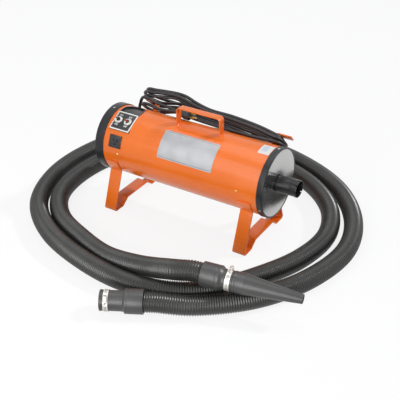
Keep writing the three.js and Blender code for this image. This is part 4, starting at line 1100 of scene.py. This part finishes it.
# %% Grille, foam and motor units
refined("intake_grille", "slotted_grille", cap_coat, 0.35)
foam_front, foam_back, foam_radius = -280.4, -268.4, 96.6
piece("foam_filter_disc", turned([
    (foam_front, 0), (foam_front, foam_radius, 2), (foam_back, foam_radius, 2), (foam_back, 0)]),
    filter_foam, stands_for="air_filter")
inside = {"motor_plate": motor_zinc, "fan_housing": motor_zinc, "motor_frame": motor_zinc,
          "motor_rotor": bright_steel, "motor_gasket": gasket_felt, "filter": motor_zinc}
for node in nodes.values():
    kind = node.name.rsplit("_", 1)[0]
    if kind in inside:
        node.material_slots[0].material = inside[kind]
bare = [name for name, node in nodes.items()
        if not node.hide_render and not node.material_slots[0].material.get("slot")]
print("CAD parts without a finish:", bare)

# %% [markdown]
# ## Cords and sizes
# The hose's and the cord's real lengths are printed. The hose has no end on the dryer: it
# lies beside it, so it starts at its coupling.

# %% The lengths of the hose and the mains cord
print("declared:", round(hose_length), "mm of hose and", round(cord_length), "mm of cord")

# %% [markdown]
# ## Floor and light
# A white floor with soft shadows is the usual setting for a catalogue view. The floor and
# the sky are white for the camera and in mirrors, and darker for all other light, so that
# the floor keeps a faint shadow and the dryer isn't lit too strongly from below. A sun lamp
# stands behind on the right and rims the cord and the hose. Two wide lamps in front, a
# high one and a low one, fill the barrel and the legs, and a fourth shines from above.

# %% White floor that keeps a shadow
def maths(tree, operation):
    """A node that works out one number from two."""
    node = added(tree, "Math")
    node.operation = operation
    return node


floor_mesh = bpy.data.meshes.new("studio_floor")
floor_mesh.from_pydata([(x, y, -0.001) for x, y in ((-8, -8), (8, -8), (8, 8), (-8, 8))], [], [range(4)])
floor = placed("studio_floor", floor_mesh)
white_floor = bpy.data.materials.new("white_studio_floor")
white_floor.use_nodes = True
tree = white_floor.node_tree
tree.nodes.remove(tree.nodes["Principled BSDF"])
plain = added(tree, "BsdfDiffuse")
shade = colour_mix(tree, A=(0.42, 0.42, 0.42), B=(0.90, 0.90, 0.90))
glow = added(tree, "Emission", Strength=1)
rays = added(tree, "LightPath")
share = filled(maths(tree, "MULTIPLY"), {1: 0.85})
mirror = maths(tree, "MAXIMUM")
blend = added(tree, "MixShader")
wired(tree, (rays, "Is Camera Ray", shade, "Factor"), (shade, "Result", plain, "Color"),
      (rays, "Is Camera Ray", mirror, 0), (rays, "Is Glossy Ray", mirror, 1), (mirror, 0, share, 0),
      (share, 0, blend, "Fac"), (plain, 0, blend, 1), (glow, 0, blend, 2),
      (blend, 0, tree.nodes["Material Output"], "Surface"))
floor_mesh.materials.append(white_floor)
print("floor:", floor.name)

# %% World and lamps
world = bpy.data.worlds.new("studio_world")
scene.world = world
world.use_nodes = True
tree = world.node_tree
plain_sky = filled(tree.nodes["Background"], {"Color": (0.92, 0.95, 1.0, 1), "Strength": 0.30})
white_sky = added(tree, "Background", Color=(1, 1, 1, 1))
rays = added(tree, "LightPath")
seen = maths(tree, "MAXIMUM")
through = maths(tree, "MAXIMUM")
blend = added(tree, "MixShader")
wired(tree, (rays, "Is Camera Ray", seen, 0), (rays, "Is Glossy Ray", seen, 1), (seen, 0, through, 0),
      (rays, "Is Transmission Ray", through, 1), (through, 0, blend, "Fac"), (plain_sky, 0, blend, 1),
      (white_sky, 0, blend, 2), (blend, 0, tree.nodes["World Output"], "Surface"))


def lamp(name, kind, power, place, target, size):
    """A lamp that faces a target. Its size is metres, or an angle for the sun."""
    light = bpy.data.lights.new(name, kind)
    light.energy = power
    if kind == "AREA":
        light.size = size
    else:
        light.angle = size
    return facing(placed(name, light), place, target)


lamps = [
    lamp("key_behind_right", "SUN", 1.6, (2.2, 2.1, 2.4), (0, 0, 0), radians(4)),
    lamp("soft_front", "AREA", 26, (-0.6, -2.6, 2.2), (0, 0, 0.15), 2.2),
    lamp("soft_low", "AREA", 42, (0.5, -2.6, 0.7), (0, 0, 0.15), 1.6),
    lamp("soft_top", "AREA", 18, (-0.4, 0.4, 3.0), (0, 0, 0.1), 2.0),
]
scene.view_settings.view_transform = "Standard"
print("lamps:", [light.name for light in lamps])
